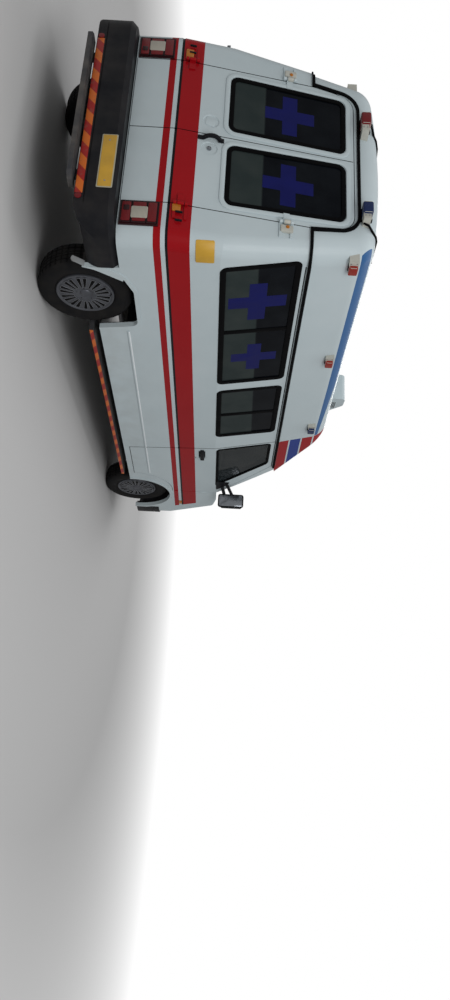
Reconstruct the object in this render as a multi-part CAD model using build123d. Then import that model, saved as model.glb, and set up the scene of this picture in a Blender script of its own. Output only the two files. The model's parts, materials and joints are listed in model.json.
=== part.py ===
from build123d import *
import math
import os

# A high-roof van ambulance, in millimetres.
# X runs forward, Y to the vehicle's left and Z up. Body pieces are drawn level, from the point
# on the ground under the rear axle, and then leaned nose-down by RAKE, as the van stands.
# The running gear is drawn straight on the ground. At the end everything moves so that the
# origin is at the bottom centre of the whole.
#
# The body is one outer form. Drawn in by a wall's thickness it gives the shell, and by a few
# millimetres the panes, and zones seen from the side or from behind cut the panels out of it.

# Driving dimensions
WHEELBASE = 3488
HALF_WIDTH = 945
TYRE_RADIUS = 340
TYRE_WIDTH = 195
RIM_RADIUS = 203
RAKE = 1.73
LEAN = math.radians(RAKE)

# Where the front wheel stands in the level body's own frame, and the track
FRONT_WHEEL_X = WHEELBASE * math.cos(LEAN) - TYRE_RADIUS * math.sin(LEAN)
FRONT_WHEEL_Z = WHEELBASE * math.sin(LEAN) + TYRE_RADIUS * math.cos(LEAN)
HALF_TRACK = HALF_WIDTH - 150

# Body outline
SILL_Z = 410
SHOULDER_Z = 1310
SIDE_LEAN = 0.155
DRIP_Z = 1908
ROOF_LEAN = 0.185
ROOF_EDGE_Z = 2350
ROOF_TOP_Z = 2405
ROOF_EDGE_RADIUS = 170
ROOF_REAR_RADIUS = 150
REAR_X = -715
REAR_CREASE_Z = 960
REAR_LEAN = 0.175
REAR_CORNER_RADIUS = 115
WALL = 40
GAP = 6

# Nose, windscreen and roof front: each a plan outline pushed up along a slope
NOSE_SIDE_X = FRONT_WHEEL_X + 384
NOSE_CORNER_RADIUS = 450
NOSE_TURN = 65
NOSE_BREAK_Z = 800
NOSE_LEAN = 0.5
SCREEN_SIDE_X = FRONT_WHEEL_X - 131
SCREEN_CORNER_RADIUS = 150
SCREEN_TURN = 70
SCREEN_LEAN = 0.937
SCREEN_TOP_Z = 1925
SCREEN_LOW_Z = 1352
SCREEN_HIGH_Z = 1884
ROOF_FRONT_TURN = 68
ROOF_FRONT_LEAN = 1.725
ROOF_BROW = 25
OUTLINE_SPARE = 14
BONNET_REAR = (FRONT_WHEEL_X + 84, 1330)
BONNET_MIDDLE = (FRONT_WHEEL_X + 484, 1200)
BONNET_FRONT = (FRONT_WHEEL_X + 854, 930)
BONNET_HINGE_X = FRONT_WHEEL_X + 189
BONNET_EDGE_X = FRONT_WHEEL_X + 794
BONNET_HALF = HALF_WIDTH - 245
BONNET_LOW_Z = 992
FACE_X = FRONT_WHEEL_X + 524
FACE_HALF = HALF_WIDTH - 225
FACE_LOW_Z = 745
FACE_HIGH_Z = 980
LAMP_INNER_Y = HALF_WIDTH - 515

# Side pressings
BELT_LOW_Z = 942
BELT_HIGH_Z = 961
BELT_DEPTH = 4
BEAD_Z = 625
BEAD_RADIUS = 9
BEAD_REAR_X = 345
BEAD_FRONT_X = FRONT_WHEEL_X - 546
ARCH_RADIUS = 375
ARCH_LIP = 26
ARCH_LIP_OUT = 7

# Glass
GLASS_THICKNESS = 5
GLASS_INSET = 5
WINDOW_LOW_Z = 1328
WINDOW_HIGH_Z = 1840
WINDOW_CORNER = 45
WINDOW_REAR_X = -432
MID_PILLAR_X = 315

# Front door
DOOR_LOW_Z = 470
DOOR_HIGH_Z = 1884
DOOR_REAR_X = FRONT_WHEEL_X - 1136
DOOR_REAR_LEAN = 0.0686
DOOR_FRONT_X = FRONT_WHEEL_X - 108
DOOR_TOP_FRONT_X = FRONT_WHEEL_X - 676
DOOR_ARCH_LOW_X = FRONT_WHEEL_X - 531
DOOR_ARCH_MIDDLE = (FRONT_WHEEL_X - 396, 760)
DOOR_ARCH_HIGH_Z = 855
HANDLE_Z = 1180

# Sliding door, on the left side only
SLIDE_FRONT_X = DOOR_REAR_X - 190
SLIDE_REAR_X = SLIDE_FRONT_X - 1020
SLIDE_HIGH_Z = DRIP_Z - 24
SLIDE_CORNER = 60
SLIDE_RAIL_Z = 1277

# Rear doors
REAR_DOOR_HALF = HALF_WIDTH - 300
REAR_DOOR_LOW_Z = 637
REAR_DOOR_HIGH_Z = 2205
REAR_DOOR_CORNER = 130
REAR_HINGE_OUT = 20
REAR_HINGE_GAP = 8
REAR_HINGE_RADIUS = 12

# Floor and chassis
FLOOR_Z = 600
FLOOR_THICKNESS = 40
DECK_Z = FLOOR_Z + FLOOR_THICKNESS
FIREWALL_X = FRONT_WHEEL_X - 186
RAIL_Y = HALF_WIDTH - 535
RAIL_HEIGHT = 110
RAIL_WIDTH = 60
RAIL_WEB = 8
MEMBER_LOW_Z = FLOOR_Z - RAIL_HEIGHT + 15
WELL_RADIUS = 412
WELL_INNER_Y = HALF_WIDTH - 465
REAR_WELL_Y = HALF_WIDTH - 295

# Bumpers and steps
REAR_BUMPER_X = -862
REAR_BUMPER_FRONT_X = -400
REAR_BUMPER_LOW_Z = 364
REAR_BUMPER_HIGH_Z = 622
REAR_BUMPER_CORNER = 190
FRONT_BUMPER_X = FRONT_WHEEL_X + 392
FRONT_BUMPER_OUT = 64
FRONT_BUMPER_LOW_Z = 425
FRONT_BUMPER_HIGH_Z = 672
REAR_STEP_X = -930
REAR_STEP_HALF = HALF_WIDTH - 290
REAR_STEP_LOW_Z = 312
REAR_STEP_HIGH_Z = 344
STEP_LOW_Z = 326
STEP_HIGH_Z = 362
STEP_REAR_X = 345
STEP_FRONT_X = FRONT_WHEEL_X - 496
STEP_OUT_Y = HALF_WIDTH + 5
STEP_WIDTH = 190

# Steering and cab
KINGPIN_Y = HALF_TRACK - 105
KINGPIN_RADIUS = 17
HUB_RADIUS = 31.5
FIT = 0.5
SEAT_X = FRONT_WHEEL_X - 916
SEAT_Y = HALF_WIDTH - 515
STEERING_X = FRONT_WHEEL_X - 501
STEERING_Y = HALF_WIDTH - 525
STEERING_Z = 1240
STEERING_TILT = -32
DASH_X = FRONT_WHEEL_X - 376
PARTITION_X = DOOR_REAR_X - 190
TOW_EYE_RADIUS = 15

# Reaches used only to cut right through
FAR = 3000
SIDE_REACH = HALF_WIDTH + 50
BEHIND = -FAR / 2
AHEAD = 2 * FAR


def box(x0, x1, y0, y1, z0, z1):
    return Pos((x0 + x1) / 2, (y0 + y1) / 2, (z0 + z1) / 2) * Box(x1 - x0, y1 - y0, z1 - z0)


def across(x0, x1, half, z0, z1):
    """A box as far to the left as to the right."""
    return box(x0, x1, -half, half, z0, z1)


def both(shape):
    return shape + mirror(shape, Plane.XZ)


def side_face(outline):
    return Plane.XZ * make_face(outline)


def along_y(face, y0, y1):
    """A side outline pushed from y0 to y1."""
    return extrude(Pos(0, y0, 0) * face, amount=y1 - y0, dir=(0, 1, 0))


def along_x(face, x0, x1):
    """A cross outline pushed from x0 to x1."""
    return extrude(Pos(x0, 0, 0) * face, amount=x1 - x0, dir=(1, 0, 0))


def rounded_side(points, radii):
    return side_face(FilletPolyline(*points, radius=radii, close=True))


def rounded_cross(points, radii):
    return Plane.YZ * make_face(FilletPolyline(*points, radius=radii, close=True))


def through_sides(points, radii):
    """An outline seen from the side, pushed through the whole width."""
    return along_y(rounded_side(points, radii), -SIDE_REACH, SIDE_REACH)


def rod_across(radius, x, z, y0, y1):
    return Pos(x, (y0 + y1) / 2, z) * Rot(90, 0, 0) * Cylinder(radius, y1 - y0)


def rod_along(radius, x0, x1, y, z):
    return Pos((x0 + x1) / 2, y, z) * Rot(0, 90, 0) * Cylinder(radius, x1 - x0)


def strut(start, end, width, height):
    """A bar from one point to another."""
    a, b = Vector(*start), Vector(*end)
    return Plane((a + b) / 2, z_dir=b - a) * Box(width, height, (b - a).length)


def rear_surface_x(z):
    return REAR_X + REAR_LEAN * max(0, z - REAR_CREASE_Z)


def side_y(z):
    roof = max(0, z - DRIP_Z)
    return HALF_WIDTH - SIDE_LEAN * (max(0, z - SHOULDER_Z) - roof) - ROOF_LEAN * roof


def door_rear_x(z):
    return DOOR_REAR_X - DOOR_REAR_LEAN * (z - DOOR_LOW_Z)


def rail_low(x):
    """Height above the ground of the leaned chassis rail's underside."""
    return (FLOOR_Z - RAIL_HEIGHT) * math.cos(LEAN) - x * math.sin(LEAN)


def nose_plan(side_x, half, radius, angle):
    """Plan outline with a round corner each side and one wide arc across the front."""
    turn = math.radians(angle)
    corner = (side_x + radius * math.sin(turn), half - radius * (1 - math.cos(turn)))
    middle = (side_x + radius * math.sin(turn / 2), half - radius * (1 - math.cos(turn / 2)))
    front_radius = corner[1] / math.cos(turn)
    tip = corner[0] + front_radius * (1 - math.sin(turn))
    left = [corner, middle, (side_x, half)]
    right = [(x, -y) for x, y in left]
    return make_face([
        Line((-FAR, -half), right[2]),
        ThreePointArc(right[2], right[1], right[0]),
        ThreePointArc(right[0], (tip, 0), left[0]),
        ThreePointArc(left[0], left[1], left[2]),
        Line(left[2], (-FAR, half)),
        Line((-FAR, half), (-FAR, -half)),
    ])


def slanted(face, z0, z1, lean):
    rise = z1 - z0
    return extrude(Pos(0, 0, z0) * face, amount=rise * math.sqrt(1 + lean * lean), dir=(-lean, 0, 1))


def tube(section, low, high, inset, radius):
    """A cross-section run along the van, cut to the rear face and rounded along that face's rim."""
    rear = side_face(Polyline(
        (REAR_X + inset, low - 10), (REAR_X + inset, REAR_CREASE_Z), (rear_surface_x(FAR) + inset, FAR),
        (AHEAD, FAR), (AHEAD, low - 10), close=True,
    ))
    body = along_x(Plane.YZ * section, -FAR, AHEAD) & along_y(rear, -FAR, FAR)
    rim = [
        e for e in body.edges()
        if abs(e.center().X - rear_surface_x(e.center().Z) - inset) < 8 and low + 1 < e.center().Z < high - 1
        and (abs(e.center().Y) > 10 or e.center().Z > ROOF_EDGE_Z - 100)
    ]
    return fillet(rim, radius - inset)


def walls(inset, low):
    """The body under the roof cap."""
    half = HALF_WIDTH - inset
    top = side_y(DRIP_Z) - inset
    section = make_face(Polyline(
        (-half, low), (half, low), (half, SHOULDER_Z), (top, DRIP_Z), (-top, DRIP_Z), (-half, SHOULDER_Z),
        close=True,
    ))
    return tube(section, low, DRIP_Z, inset, REAR_CORNER_RADIUS)


def roof_cap(inset):
    """The moulded high roof, with a crowned top and large round edges."""
    foot = side_y(DRIP_Z) - inset
    edge_z = ROOF_EDGE_Z - inset
    edge_y = side_y(edge_z) - inset
    section = make_face([
        Line((-foot, DRIP_Z), (foot, DRIP_Z)),
        Line((foot, DRIP_Z), (edge_y, edge_z)),
        ThreePointArc((edge_y, edge_z), (0, ROOF_TOP_Z - inset), (-edge_y, edge_z)),
        Line((-edge_y, edge_z), (-foot, DRIP_Z)),
    ])
    shoulders = section.vertices().filter_by(lambda v: abs(v.Y - edge_z) < 1)
    section = fillet(shoulders, ROOF_EDGE_RADIUS - inset)
    return tube(section, DRIP_Z, FAR, inset, ROOF_REAR_RADIUS)


def envelope(inset):
    """The body's outer form, or the same form drawn in by inset."""
    low = SILL_Z - (FAR / 10 if inset > 0 else 0)
    spare = HALF_WIDTH - inset + OUTLINE_SPARE
    body = walls(inset, low) + roof_cap(inset)
    nose = nose_plan(NOSE_SIDE_X - inset, spare, NOSE_CORNER_RADIUS - inset, NOSE_TURN)
    screen = nose_plan(SCREEN_SIDE_X - 1.4 * inset, spare, SCREEN_CORNER_RADIUS - inset, SCREEN_TURN)
    brow_x = SCREEN_SIDE_X - SCREEN_LEAN * (SCREEN_TOP_Z - SHOULDER_Z) + ROOF_BROW
    brow = nose_plan(brow_x - 2 * inset, spare, SCREEN_CORNER_RADIUS - inset, ROOF_FRONT_TURN)
    rear_x, rear_z = BONNET_REAR[0], BONNET_REAR[1] - inset
    front_x, front_z = BONNET_FRONT[0] - inset, BONNET_FRONT[1] - inset
    under_bonnet = side_face([
        Line((-FAR, low - 50), (AHEAD, low - 50)),
        Line((AHEAD, low - 50), (AHEAD, front_z - 900)),
        Line((AHEAD, front_z - 900), (front_x, front_z)),
        ThreePointArc((front_x, front_z), (BONNET_MIDDLE[0] - inset / 2, BONNET_MIDDLE[1] - inset),
                      (rear_x, rear_z)),
        Line((rear_x, rear_z), (-FAR, rear_z)),
        Line((-FAR, rear_z), (-FAR, low - 50)),
    ])
    lower = slanted(nose, low - 20, NOSE_BREAK_Z, 0) + slanted(nose, NOSE_BREAK_Z, SHOULDER_Z + 60, NOSE_LEAN)
    lower = lower & along_y(under_bonnet, -FAR, FAR)
    upper = slanted(screen, SHOULDER_Z - 30, SCREEN_TOP_Z, SCREEN_LEAN)
    top = slanted(brow, SCREEN_TOP_Z, FAR, ROOF_FRONT_LEAN)
    return body & (lower + upper + top)


def rear_arch(grow):
    """The low rear wheel opening, drawn out by grow for its lip."""
    return [(345 + grow, SILL_Z - 200), (262 + grow / 2, 706 + grow), (-140 - grow / 2, 706 + grow),
            (-300 - grow, 640 + grow / 2), (-410 - grow, 460), (-480 - grow, SILL_Z - 200)]


def arch_flap():
    """The pale strip that carries the rear opening's edge down behind the tyre."""
    strip = side_face(Polyline(
        (-292, 652), (-262, 640), (-374, 455), (-418, 300), (-446, 300), (-404, 470), close=True))
    return along_y(strip, -HALF_WIDTH - ARCH_LIP_OUT, -HALF_WIDTH + 120)


def front_arch(radius, reach):
    return rod_across(radius, FRONT_WHEEL_X, FRONT_WHEEL_Z, -reach, reach)


def front_well(radius, inner_y):
    """Both front wheel houses: round over the wheel and open below."""
    house = rod_across(radius, FRONT_WHEEL_X, FRONT_WHEEL_Z, -HALF_WIDTH, -inner_y)
    house = house + box(FRONT_WHEEL_X - radius, FRONT_WHEEL_X + radius, -HALF_WIDTH, -inner_y, 0, FRONT_WHEEL_Z)
    return both(house)


def body_shell():
    """The whole shell with its belt groove, lower bead and arch lips, and open wheel arches."""
    shell = OUTER - envelope(WALL)
    belt = OUTER - envelope(BELT_DEPTH)
    shell = shell - (belt & across(BEHIND, FRONT_WHEEL_X + 250, SIDE_REACH, BELT_LOW_Z, BELT_HIGH_Z))
    bead = rod_along(BEAD_RADIUS, BEAD_REAR_X, BEAD_FRONT_X, -HALF_WIDTH, BEAD_Z)
    lip_band = box(BEHIND, AHEAD, -HALF_WIDTH - ARCH_LIP_OUT, -HALF_WIDTH + WALL / 2, SILL_Z, SHOULDER_Z)
    lips = through_sides(rear_arch(ARCH_LIP), [1, 80, 80, 110, 80, 1]) + front_arch(ARCH_RADIUS + ARCH_LIP, SIDE_REACH)
    shell = shell + both(bead) + both(lips & lip_band)
    shell = shell - through_sides(rear_arch(0), [1, 60, 60, 90, 60, 1]) - front_arch(ARCH_RADIUS, SIDE_REACH)
    return shell + both(arch_flap())


def front_door_outline(grow):
    pillar = (DOOR_FRONT_X + grow, SHOULDER_Z + 20)
    top = (DOOR_TOP_FRONT_X + grow, DOOR_HIGH_Z + grow)
    rear_top = (door_rear_x(DOOR_HIGH_Z) - grow, DOOR_HIGH_Z + grow)
    rear_low = (DOOR_REAR_X - grow, DOOR_LOW_Z - grow)
    arch_low = (DOOR_ARCH_LOW_X + grow, DOOR_LOW_Z - grow)
    arch_high = (DOOR_FRONT_X + grow, DOOR_ARCH_HIGH_Z - grow)
    return side_face([
        Line(rear_low, arch_low),
        ThreePointArc(arch_low, (DOOR_ARCH_MIDDLE[0] + grow, DOOR_ARCH_MIDDLE[1] - grow), arch_high),
        Line(arch_high, pillar),
        Line(pillar, top),
        Line(top, rear_top),
        Line(rear_top, rear_low),
    ])


def slide_outline(grow):
    x0, x1 = SLIDE_REAR_X - grow, SLIDE_FRONT_X + grow
    z0, z1 = DOOR_LOW_Z - grow, SLIDE_HIGH_Z + grow
    return rounded_side([(x0, z0), (x1, z0), (x1, z1), (x0, z1)], SLIDE_CORNER - GAP + grow)


def rear_door_outline(grow):
    """The right leaf seen from behind."""
    low, high = REAR_DOOR_LOW_Z - grow, REAR_DOOR_HIGH_Z + grow
    edge = REAR_DOOR_HALF + grow
    return rounded_cross(
        [(-edge, low), (0, low), (0, high), (-edge + 45, high), (-edge, DRIP_Z + 12)],
        [1, 1, 1, REAR_DOOR_CORNER + grow, 60])


def cabin_windows():
    openings = [
        # rear x, front x
        (WINDOW_REAR_X, SLIDE_REAR_X - 88),
        (SLIDE_REAR_X + 62, SLIDE_FRONT_X - 140),
    ]
    panes = [
        through_sides([(x0, WINDOW_LOW_Z), (x1, WINDOW_LOW_Z), (x1 - 15, WINDOW_HIGH_Z), (x0 - 15, WINDOW_HIGH_Z)],
                      WINDOW_CORNER)
        for x0, x1 in openings
    ]
    return panes[0] + panes[1]


def door_window():
    return through_sides(
        [(DOOR_REAR_X - 27, WINDOW_LOW_Z), (FRONT_WHEEL_X - 304, WINDOW_LOW_Z),
         (FRONT_WHEEL_X - 764, WINDOW_HIGH_Z), (DOOR_REAR_X - 67, WINDOW_HIGH_Z)], [40, 30, 40, 40])


def rear_window():
    edge = REAR_DOOR_HALF - 79
    return along_x(
        rounded_cross([(-edge, 1330), (-84, 1330), (-70, 2125), (-edge + 30, 2125)], [55, 55, 55, 70]), BEHIND, -300)


def windscreen_opening():
    low, high = HALF_WIDTH - 145, HALF_WIDTH - 257
    return along_x(
        rounded_cross([(-low, SCREEN_LOW_Z), (low, SCREEN_LOW_Z), (high, SCREEN_HIGH_Z), (-high, SCREEN_HIGH_Z)], 70),
        DOOR_REAR_X, AHEAD)


def face_opening():
    """The opening in the nose that the grille and both headlamps fill."""
    half = FACE_HALF
    return along_x(
        rounded_cross([(-half, FACE_LOW_Z), (half, FACE_LOW_Z), (half - 25, FACE_HIGH_Z), (-half + 25, FACE_HIGH_Z)],
                      30), FACE_X, AHEAD)


def grille_zone(inset):
    low, high = LAMP_INNER_Y + 20 - inset, LAMP_INNER_Y - 10 - inset
    z0, z1 = FACE_LOW_Z + inset, FACE_HIGH_Z - inset
    return along_x(Plane.YZ * make_face(Polyline((-low, z0), (low, z0), (high, z1), (-high, z1), close=True)),
                   FACE_X, AHEAD)


def side_zone():
    """Everything behind the front doors' rear edges and under the roof cap."""
    return along_y(side_face(Polyline(
        (BEHIND, 0), (door_rear_x(0) + 10, 0), (door_rear_x(DRIP_Z) + 10, DRIP_Z), (BEHIND, DRIP_Z), close=True)),
        -SIDE_REACH, SIDE_REACH)


def hinge_place(z, y):
    """On the rear doors' hinge line, with Z along it."""
    tilt = math.degrees(math.atan(REAR_LEAN))
    return Pos(rear_surface_x(z) - REAR_HINGE_OUT, y, z) * Rot(0, tilt, 0)


REAR_HINGES = [1030, 1735]


def sideways(near, far, side, x0, x1, middle_z, height):
    """A plate beside a hinge line, from near to far out towards side."""
    y0, y1 = sorted((near * side, far * side))
    return box(x0, x1, y0, y1, middle_z - height / 2, middle_z + height / 2)


def hinge_halves(side):
    """The door's barrels with their plates, and the body's straps with their eyes above and below."""
    line_y = side * (REAR_DOOR_HALF + REAR_HINGE_GAP)
    barrel, eye = 44, 20
    moving, fixed = [], []
    for z in REAR_HINGES:
        place = hinge_place(z, line_y)
        plate = sideways(10, 80, -side, REAR_HINGE_RADIUS - 2, REAR_HINGE_OUT + 3, 0, barrel)
        web = sideways(0, 12, -side, 4, REAR_HINGE_RADIUS + 2, 0, barrel)
        moving.append(place * (Cylinder(REAR_HINGE_RADIUS, barrel) + plate + web))
        for shift in (-1, 1):
            centre = shift * (barrel / 2 + GAP + eye / 2)
            strap = sideways(0, 120, side, REAR_HINGE_RADIUS - 2, REAR_HINGE_OUT + 3, centre, eye)
            fixed.append(place * (Pos(0, 0, centre) * Cylinder(REAR_HINGE_RADIUS, eye) + strap))
    return moving, fixed


def side_panels(parts):
    bumper_bite = across(BEHIND, REAR_BUMPER_FRONT_X + 3, SIDE_REACH, 0, REAR_BUMPER_HIGH_Z + 6)
    rear_hole = both(along_x(rear_door_outline(GAP), BEHIND, -300))
    panel = (SHELL & side_zone()) - cabin_windows() - rear_hole - bumper_bite
    panel = panel - along_y(front_door_outline(GAP), -SIDE_REACH, SIDE_REACH)
    right = panel & box(BEHIND, AHEAD, -SIDE_REACH, -1, 0, FAR)
    left = panel & box(BEHIND, AHEAD, 1, SIDE_REACH, 0, FAR)
    left = left - along_y(slide_outline(GAP), 0, SIDE_REACH)
    left = left - box(REAR_X + 90, SLIDE_REAR_X - GAP, HALF_WIDTH - 14, SIDE_REACH, SLIDE_RAIL_Z - 15, SLIDE_RAIL_Z + 15)
    for sign, name, shape in ((-1, "right", right), (1, "left", left)):
        for strap in hinge_halves(sign)[1]:
            shape = shape + strap
        parts[f"side_panel_{name}"] = shape


def sliding_door(parts):
    door = (SHELL & along_y(slide_outline(0), 0, SIDE_REACH)) - cabin_windows()
    pocket = box(SLIDE_FRONT_X - 210, SLIDE_FRONT_X - 60, HALF_WIDTH - 16, SIDE_REACH, HANDLE_Z - 32, HANDLE_Z + 32)
    grip = box(SLIDE_FRONT_X - 225, SLIDE_FRONT_X - 45, HALF_WIDTH - 14, HALF_WIDTH + 12, HANDLE_Z - 12, HANDLE_Z + 12)
    parts["sliding_door"] = (door - pocket) + grip


def cab_shell(parts):
    cab = (SHELL & across(0, AHEAD, SIDE_REACH, 0, DRIP_Z)) - side_zone()
    cab = cab - along_y(front_door_outline(GAP), -SIDE_REACH, SIDE_REACH)
    cab = cab - windscreen_opening() - face_opening()
    cab = cab - across(BONNET_HINGE_X - GAP, BONNET_EDGE_X + GAP, BONNET_HALF + GAP, BONNET_LOW_Z - GAP, 1500)
    parts["cab_shell"] = cab - across(FRONT_BUMPER_X, AHEAD, SIDE_REACH, 0, FRONT_BUMPER_HIGH_Z + 3)


def bonnet(parts):
    """The lid with two shallow flutes that run together towards the nose."""
    lid = (OUTER - envelope(25)) & across(BONNET_HINGE_X, BONNET_EDGE_X, BONNET_HALF, BONNET_LOW_Z, 1500)
    flute = extrude(Pos(0, 0, BONNET_LOW_Z - 50) * make_face(Polyline(
        (BONNET_HINGE_X + 60, 430), (BONNET_EDGE_X - 120, 300), (BONNET_EDGE_X - 120, 350),
        (BONNET_HINGE_X + 60, 520), close=True)), amount=500)
    parts["bonnet"] = lid - (both(flute) - envelope(5))


def high_roof(parts):
    rear_hole = both(along_x(rear_door_outline(GAP), BEHIND, -300))
    parts["high_roof"] = (SHELL & across(BEHIND, AHEAD, SIDE_REACH, DRIP_Z, FAR)) - rear_hole


def windows(parts):
    split = across(MID_PILLAR_X - 15, MID_PILLAR_X + 15, SIDE_REACH, 0, FAR)
    parts["windscreen"] = PANES & windscreen_opening()
    parts["side_glass"] = (PANES & cabin_windows()) - split
    right = box(0, AHEAD, -SIDE_REACH, 0, 0, FAR)
    parts["door_glass_right"] = PANES & door_window() & right
    parts["door_glass_left"] = mirror(parts["door_glass_right"], Plane.XZ)
    parts["rear_glass_right"] = PANES & rear_window()
    parts["rear_glass_left"] = mirror(parts["rear_glass_right"], Plane.XZ)


def front_doors(parts):
    right = box(0, AHEAD, -SIDE_REACH, 0, 0, FAR)
    door = (SHELL & along_y(front_door_outline(0), -SIDE_REACH, SIDE_REACH) & right) - door_window()
    x0, x1 = DOOR_REAR_X - 10, DOOR_REAR_X + 190
    pocket = box(x0 + 22, x1 - 22, -SIDE_REACH, -HALF_WIDTH + 16, HANDLE_Z - 36, HANDLE_Z + 30)
    grip = box(x0, x1, -HALF_WIDTH - 13, -HALF_WIDTH + 6, HANDLE_Z - 15, HANDLE_Z + 15)
    door = (door - pocket) + grip
    parts["door_right"] = door
    parts["door_left"] = mirror(door, Plane.XZ)


def mirrors(parts):
    """A tall rounded head on two arms, with a corner plate over the window's front end."""
    head_x, head_y, head_z = FRONT_WHEEL_X - 166, -HALF_WIDTH - 118, 1500
    outline = make_face(FilletPolyline(
        (-36, -72), (20, -78), (40, -40), (40, 40), (20, 78), (-36, 72), radius=14, close=True))
    head = Pos(head_x, head_y, head_z) * Rot(0, 0, 12) * extrude(Pos(0, 0, -112) * outline, amount=224)
    rims = head.edges().group_by(Axis.Z)
    head = chamfer(rims[0] + rims[-1], 10)
    root_x = DOOR_FRONT_X - 150
    arms = strut((root_x, -HALF_WIDTH + 12, 1392), (head_x, head_y, 1440), 26, 34)
    arms = arms + strut((root_x - 40, -HALF_WIDTH + 22, 1440), (head_x, head_y, 1540), 22, 30)
    corner = (envelope(-4) - OUTER) & along_y(rounded_side(
        [(root_x - 150, 1326), (root_x + 70, 1326), (root_x - 20, 1440), (root_x - 90, 1470)], 12), -SIDE_REACH, 0)
    right = ((head + arms) - OUTER) + corner
    parts["mirror_right"] = right
    parts["mirror_left"] = mirror(right, Plane.XZ)


def rear_doors(parts):
    leaf = (SHELL & along_x(rear_door_outline(0), BEHIND, -300)) - rear_window()
    leaf = leaf - box(BEHIND, 0, -GAP / 2, GAP, 0, FAR)
    tilt = math.degrees(math.atan(REAR_LEAN))
    dish_z = 1187
    dish = Pos(rear_surface_x(dish_z), -124, dish_z) * Rot(0, tilt - 90, 0) * Cone(54, 62, 12)
    leaf = leaf - dish
    for barrel in hinge_halves(-1)[0]:
        leaf = leaf + barrel
    parts["rear_door_right"] = leaf
    parts["rear_door_left"] = mirror(leaf, Plane.XZ)
    grip_x = rear_surface_x(HANDLE_Z + 15)
    bow = side_face([
        ThreePointArc((grip_x + 14, 1115), (grip_x - 46, 1195), (grip_x + 14, 1275)),
        Line((grip_x + 14, 1275), (grip_x + 14, 1252)),
        ThreePointArc((grip_x + 14, 1252), (grip_x - 26, 1195), (grip_x + 14, 1138)),
        Line((grip_x + 14, 1138), (grip_x + 14, 1115)),
    ])
    parts["rear_handle"] = along_y(bow, -54, -32) - OUTER


def drip_moulding(parts):
    """The black gutter along both sides and over the rear doors."""
    layer = envelope(-14) - OUTER
    strip = across(BEHIND, FRONT_WHEEL_X - 646, SIDE_REACH, DRIP_Z - 8, DRIP_Z + 14)
    strip = strip - across(BEHIND, 0, REAR_DOOR_HALF + 10, 0, FAR)
    outside = rounded_cross(
        [(-REAR_DOOR_HALF - 32, DRIP_Z - 8), (0, DRIP_Z - 8), (0, 2252), (-REAR_DOOR_HALF + 24, 2252)],
        [1, 1, 1, REAR_DOOR_CORNER + 30])
    inside = rounded_cross(
        [(-REAR_DOOR_HALF - 10, DRIP_Z - 50), (0, DRIP_Z - 50), (0, 2230), (-REAR_DOOR_HALF + 40, 2230)],
        [1, 1, 1, REAR_DOOR_CORNER + 10])
    ring = both(along_x(outside, BEHIND, 0)) - both(along_x(inside, BEHIND, 0))
    parts["drip_moulding"] = layer & (strip + ring)


def floor_pan(parts):
    """Cabin and cab floor, rear wheel boxes, firewall and the front wheel liners."""
    cabin = envelope(WALL + FIT)
    inner = HALF_WIDTH - WALL - FIT
    wells = front_well(WELL_RADIUS, WELL_INNER_Y)
    floor = cabin & across(BEHIND, FIREWALL_X + 20, SIDE_REACH, FLOOR_Z, DECK_Z)
    floor = floor - wells - both(box(-430, 400, -HALF_WIDTH, -REAR_WELL_Y - 10, 0, 760))
    wheel_box = box(-440, 410, -inner, -REAR_WELL_Y, FLOOR_Z, 770)
    wheel_box = wheel_box - box(-425, 395, -HALF_WIDTH, -REAR_WELL_Y - 15, 0, 755)
    firewall = (across(FIREWALL_X, FIREWALL_X + 20, SIDE_REACH, FLOOR_Z, 1290) & cabin) - wells
    firewall = firewall - both(rod_across(WELL_RADIUS + 4, FRONT_WHEEL_X, FRONT_WHEEL_Z, -HALF_WIDTH, -WELL_INNER_Y + 8))
    liner = rod_across(WELL_RADIUS + 8, FRONT_WHEEL_X, FRONT_WHEEL_Z, -HALF_WIDTH, -WELL_INNER_Y + 8)
    liner = (liner - wells) & box(0, AHEAD, -inner, 0, FLOOR_Z - RAIL_HEIGHT, FAR)
    liner = liner - box(FRONT_BUMPER_X - 6, AHEAD, -SIDE_REACH, -HALF_WIDTH + 67, 0, FRONT_BUMPER_HIGH_Z + 3)
    parts["floor_pan"] = floor + both(wheel_box) + firewall + both(liner)


def rear_bumper(parts):
    """A black moulding with round ends, cut-away lower corners, a bevelled top edge and a groove."""
    ends = HALF_WIDTH + 6
    low, high = REAR_BUMPER_LOW_Z, REAR_BUMPER_HIGH_Z
    plan = make_face(Polyline(
        (REAR_BUMPER_X, -ends), (REAR_BUMPER_FRONT_X, -ends), (REAR_BUMPER_FRONT_X, ends), (REAR_BUMPER_X, ends),
        close=True))
    plan = fillet(plan.vertices().group_by(Axis.X)[0], REAR_BUMPER_CORNER)
    bumper = extrude(Pos(0, 0, low) * plan, amount=high - low)
    top = [e for e in bumper.edges() if e.center().Z > high - 1 and e.center().X < REAR_BUMPER_FRONT_X - 10]
    bumper = chamfer(top, 34)
    bumper = bumper & along_x(rounded_cross(
        [(-ends - 1, low), (ends + 1, low), (ends + 1, FAR), (-ends - 1, FAR)], [150, 150, 1, 1]), BEHIND, 0)
    groove = across(BEHIND, REAR_BUMPER_X + 8, FAR / 2, low + 62, low + 70)
    inside = across(REAR_X - 60, 0, HALF_WIDTH - WALL, 0, FLOOR_Z + 4) + across(REAR_X + 30, 0, HALF_WIDTH - WALL, 0, FAR)
    parts["rear_bumper"] = bumper - inside - groove


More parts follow.
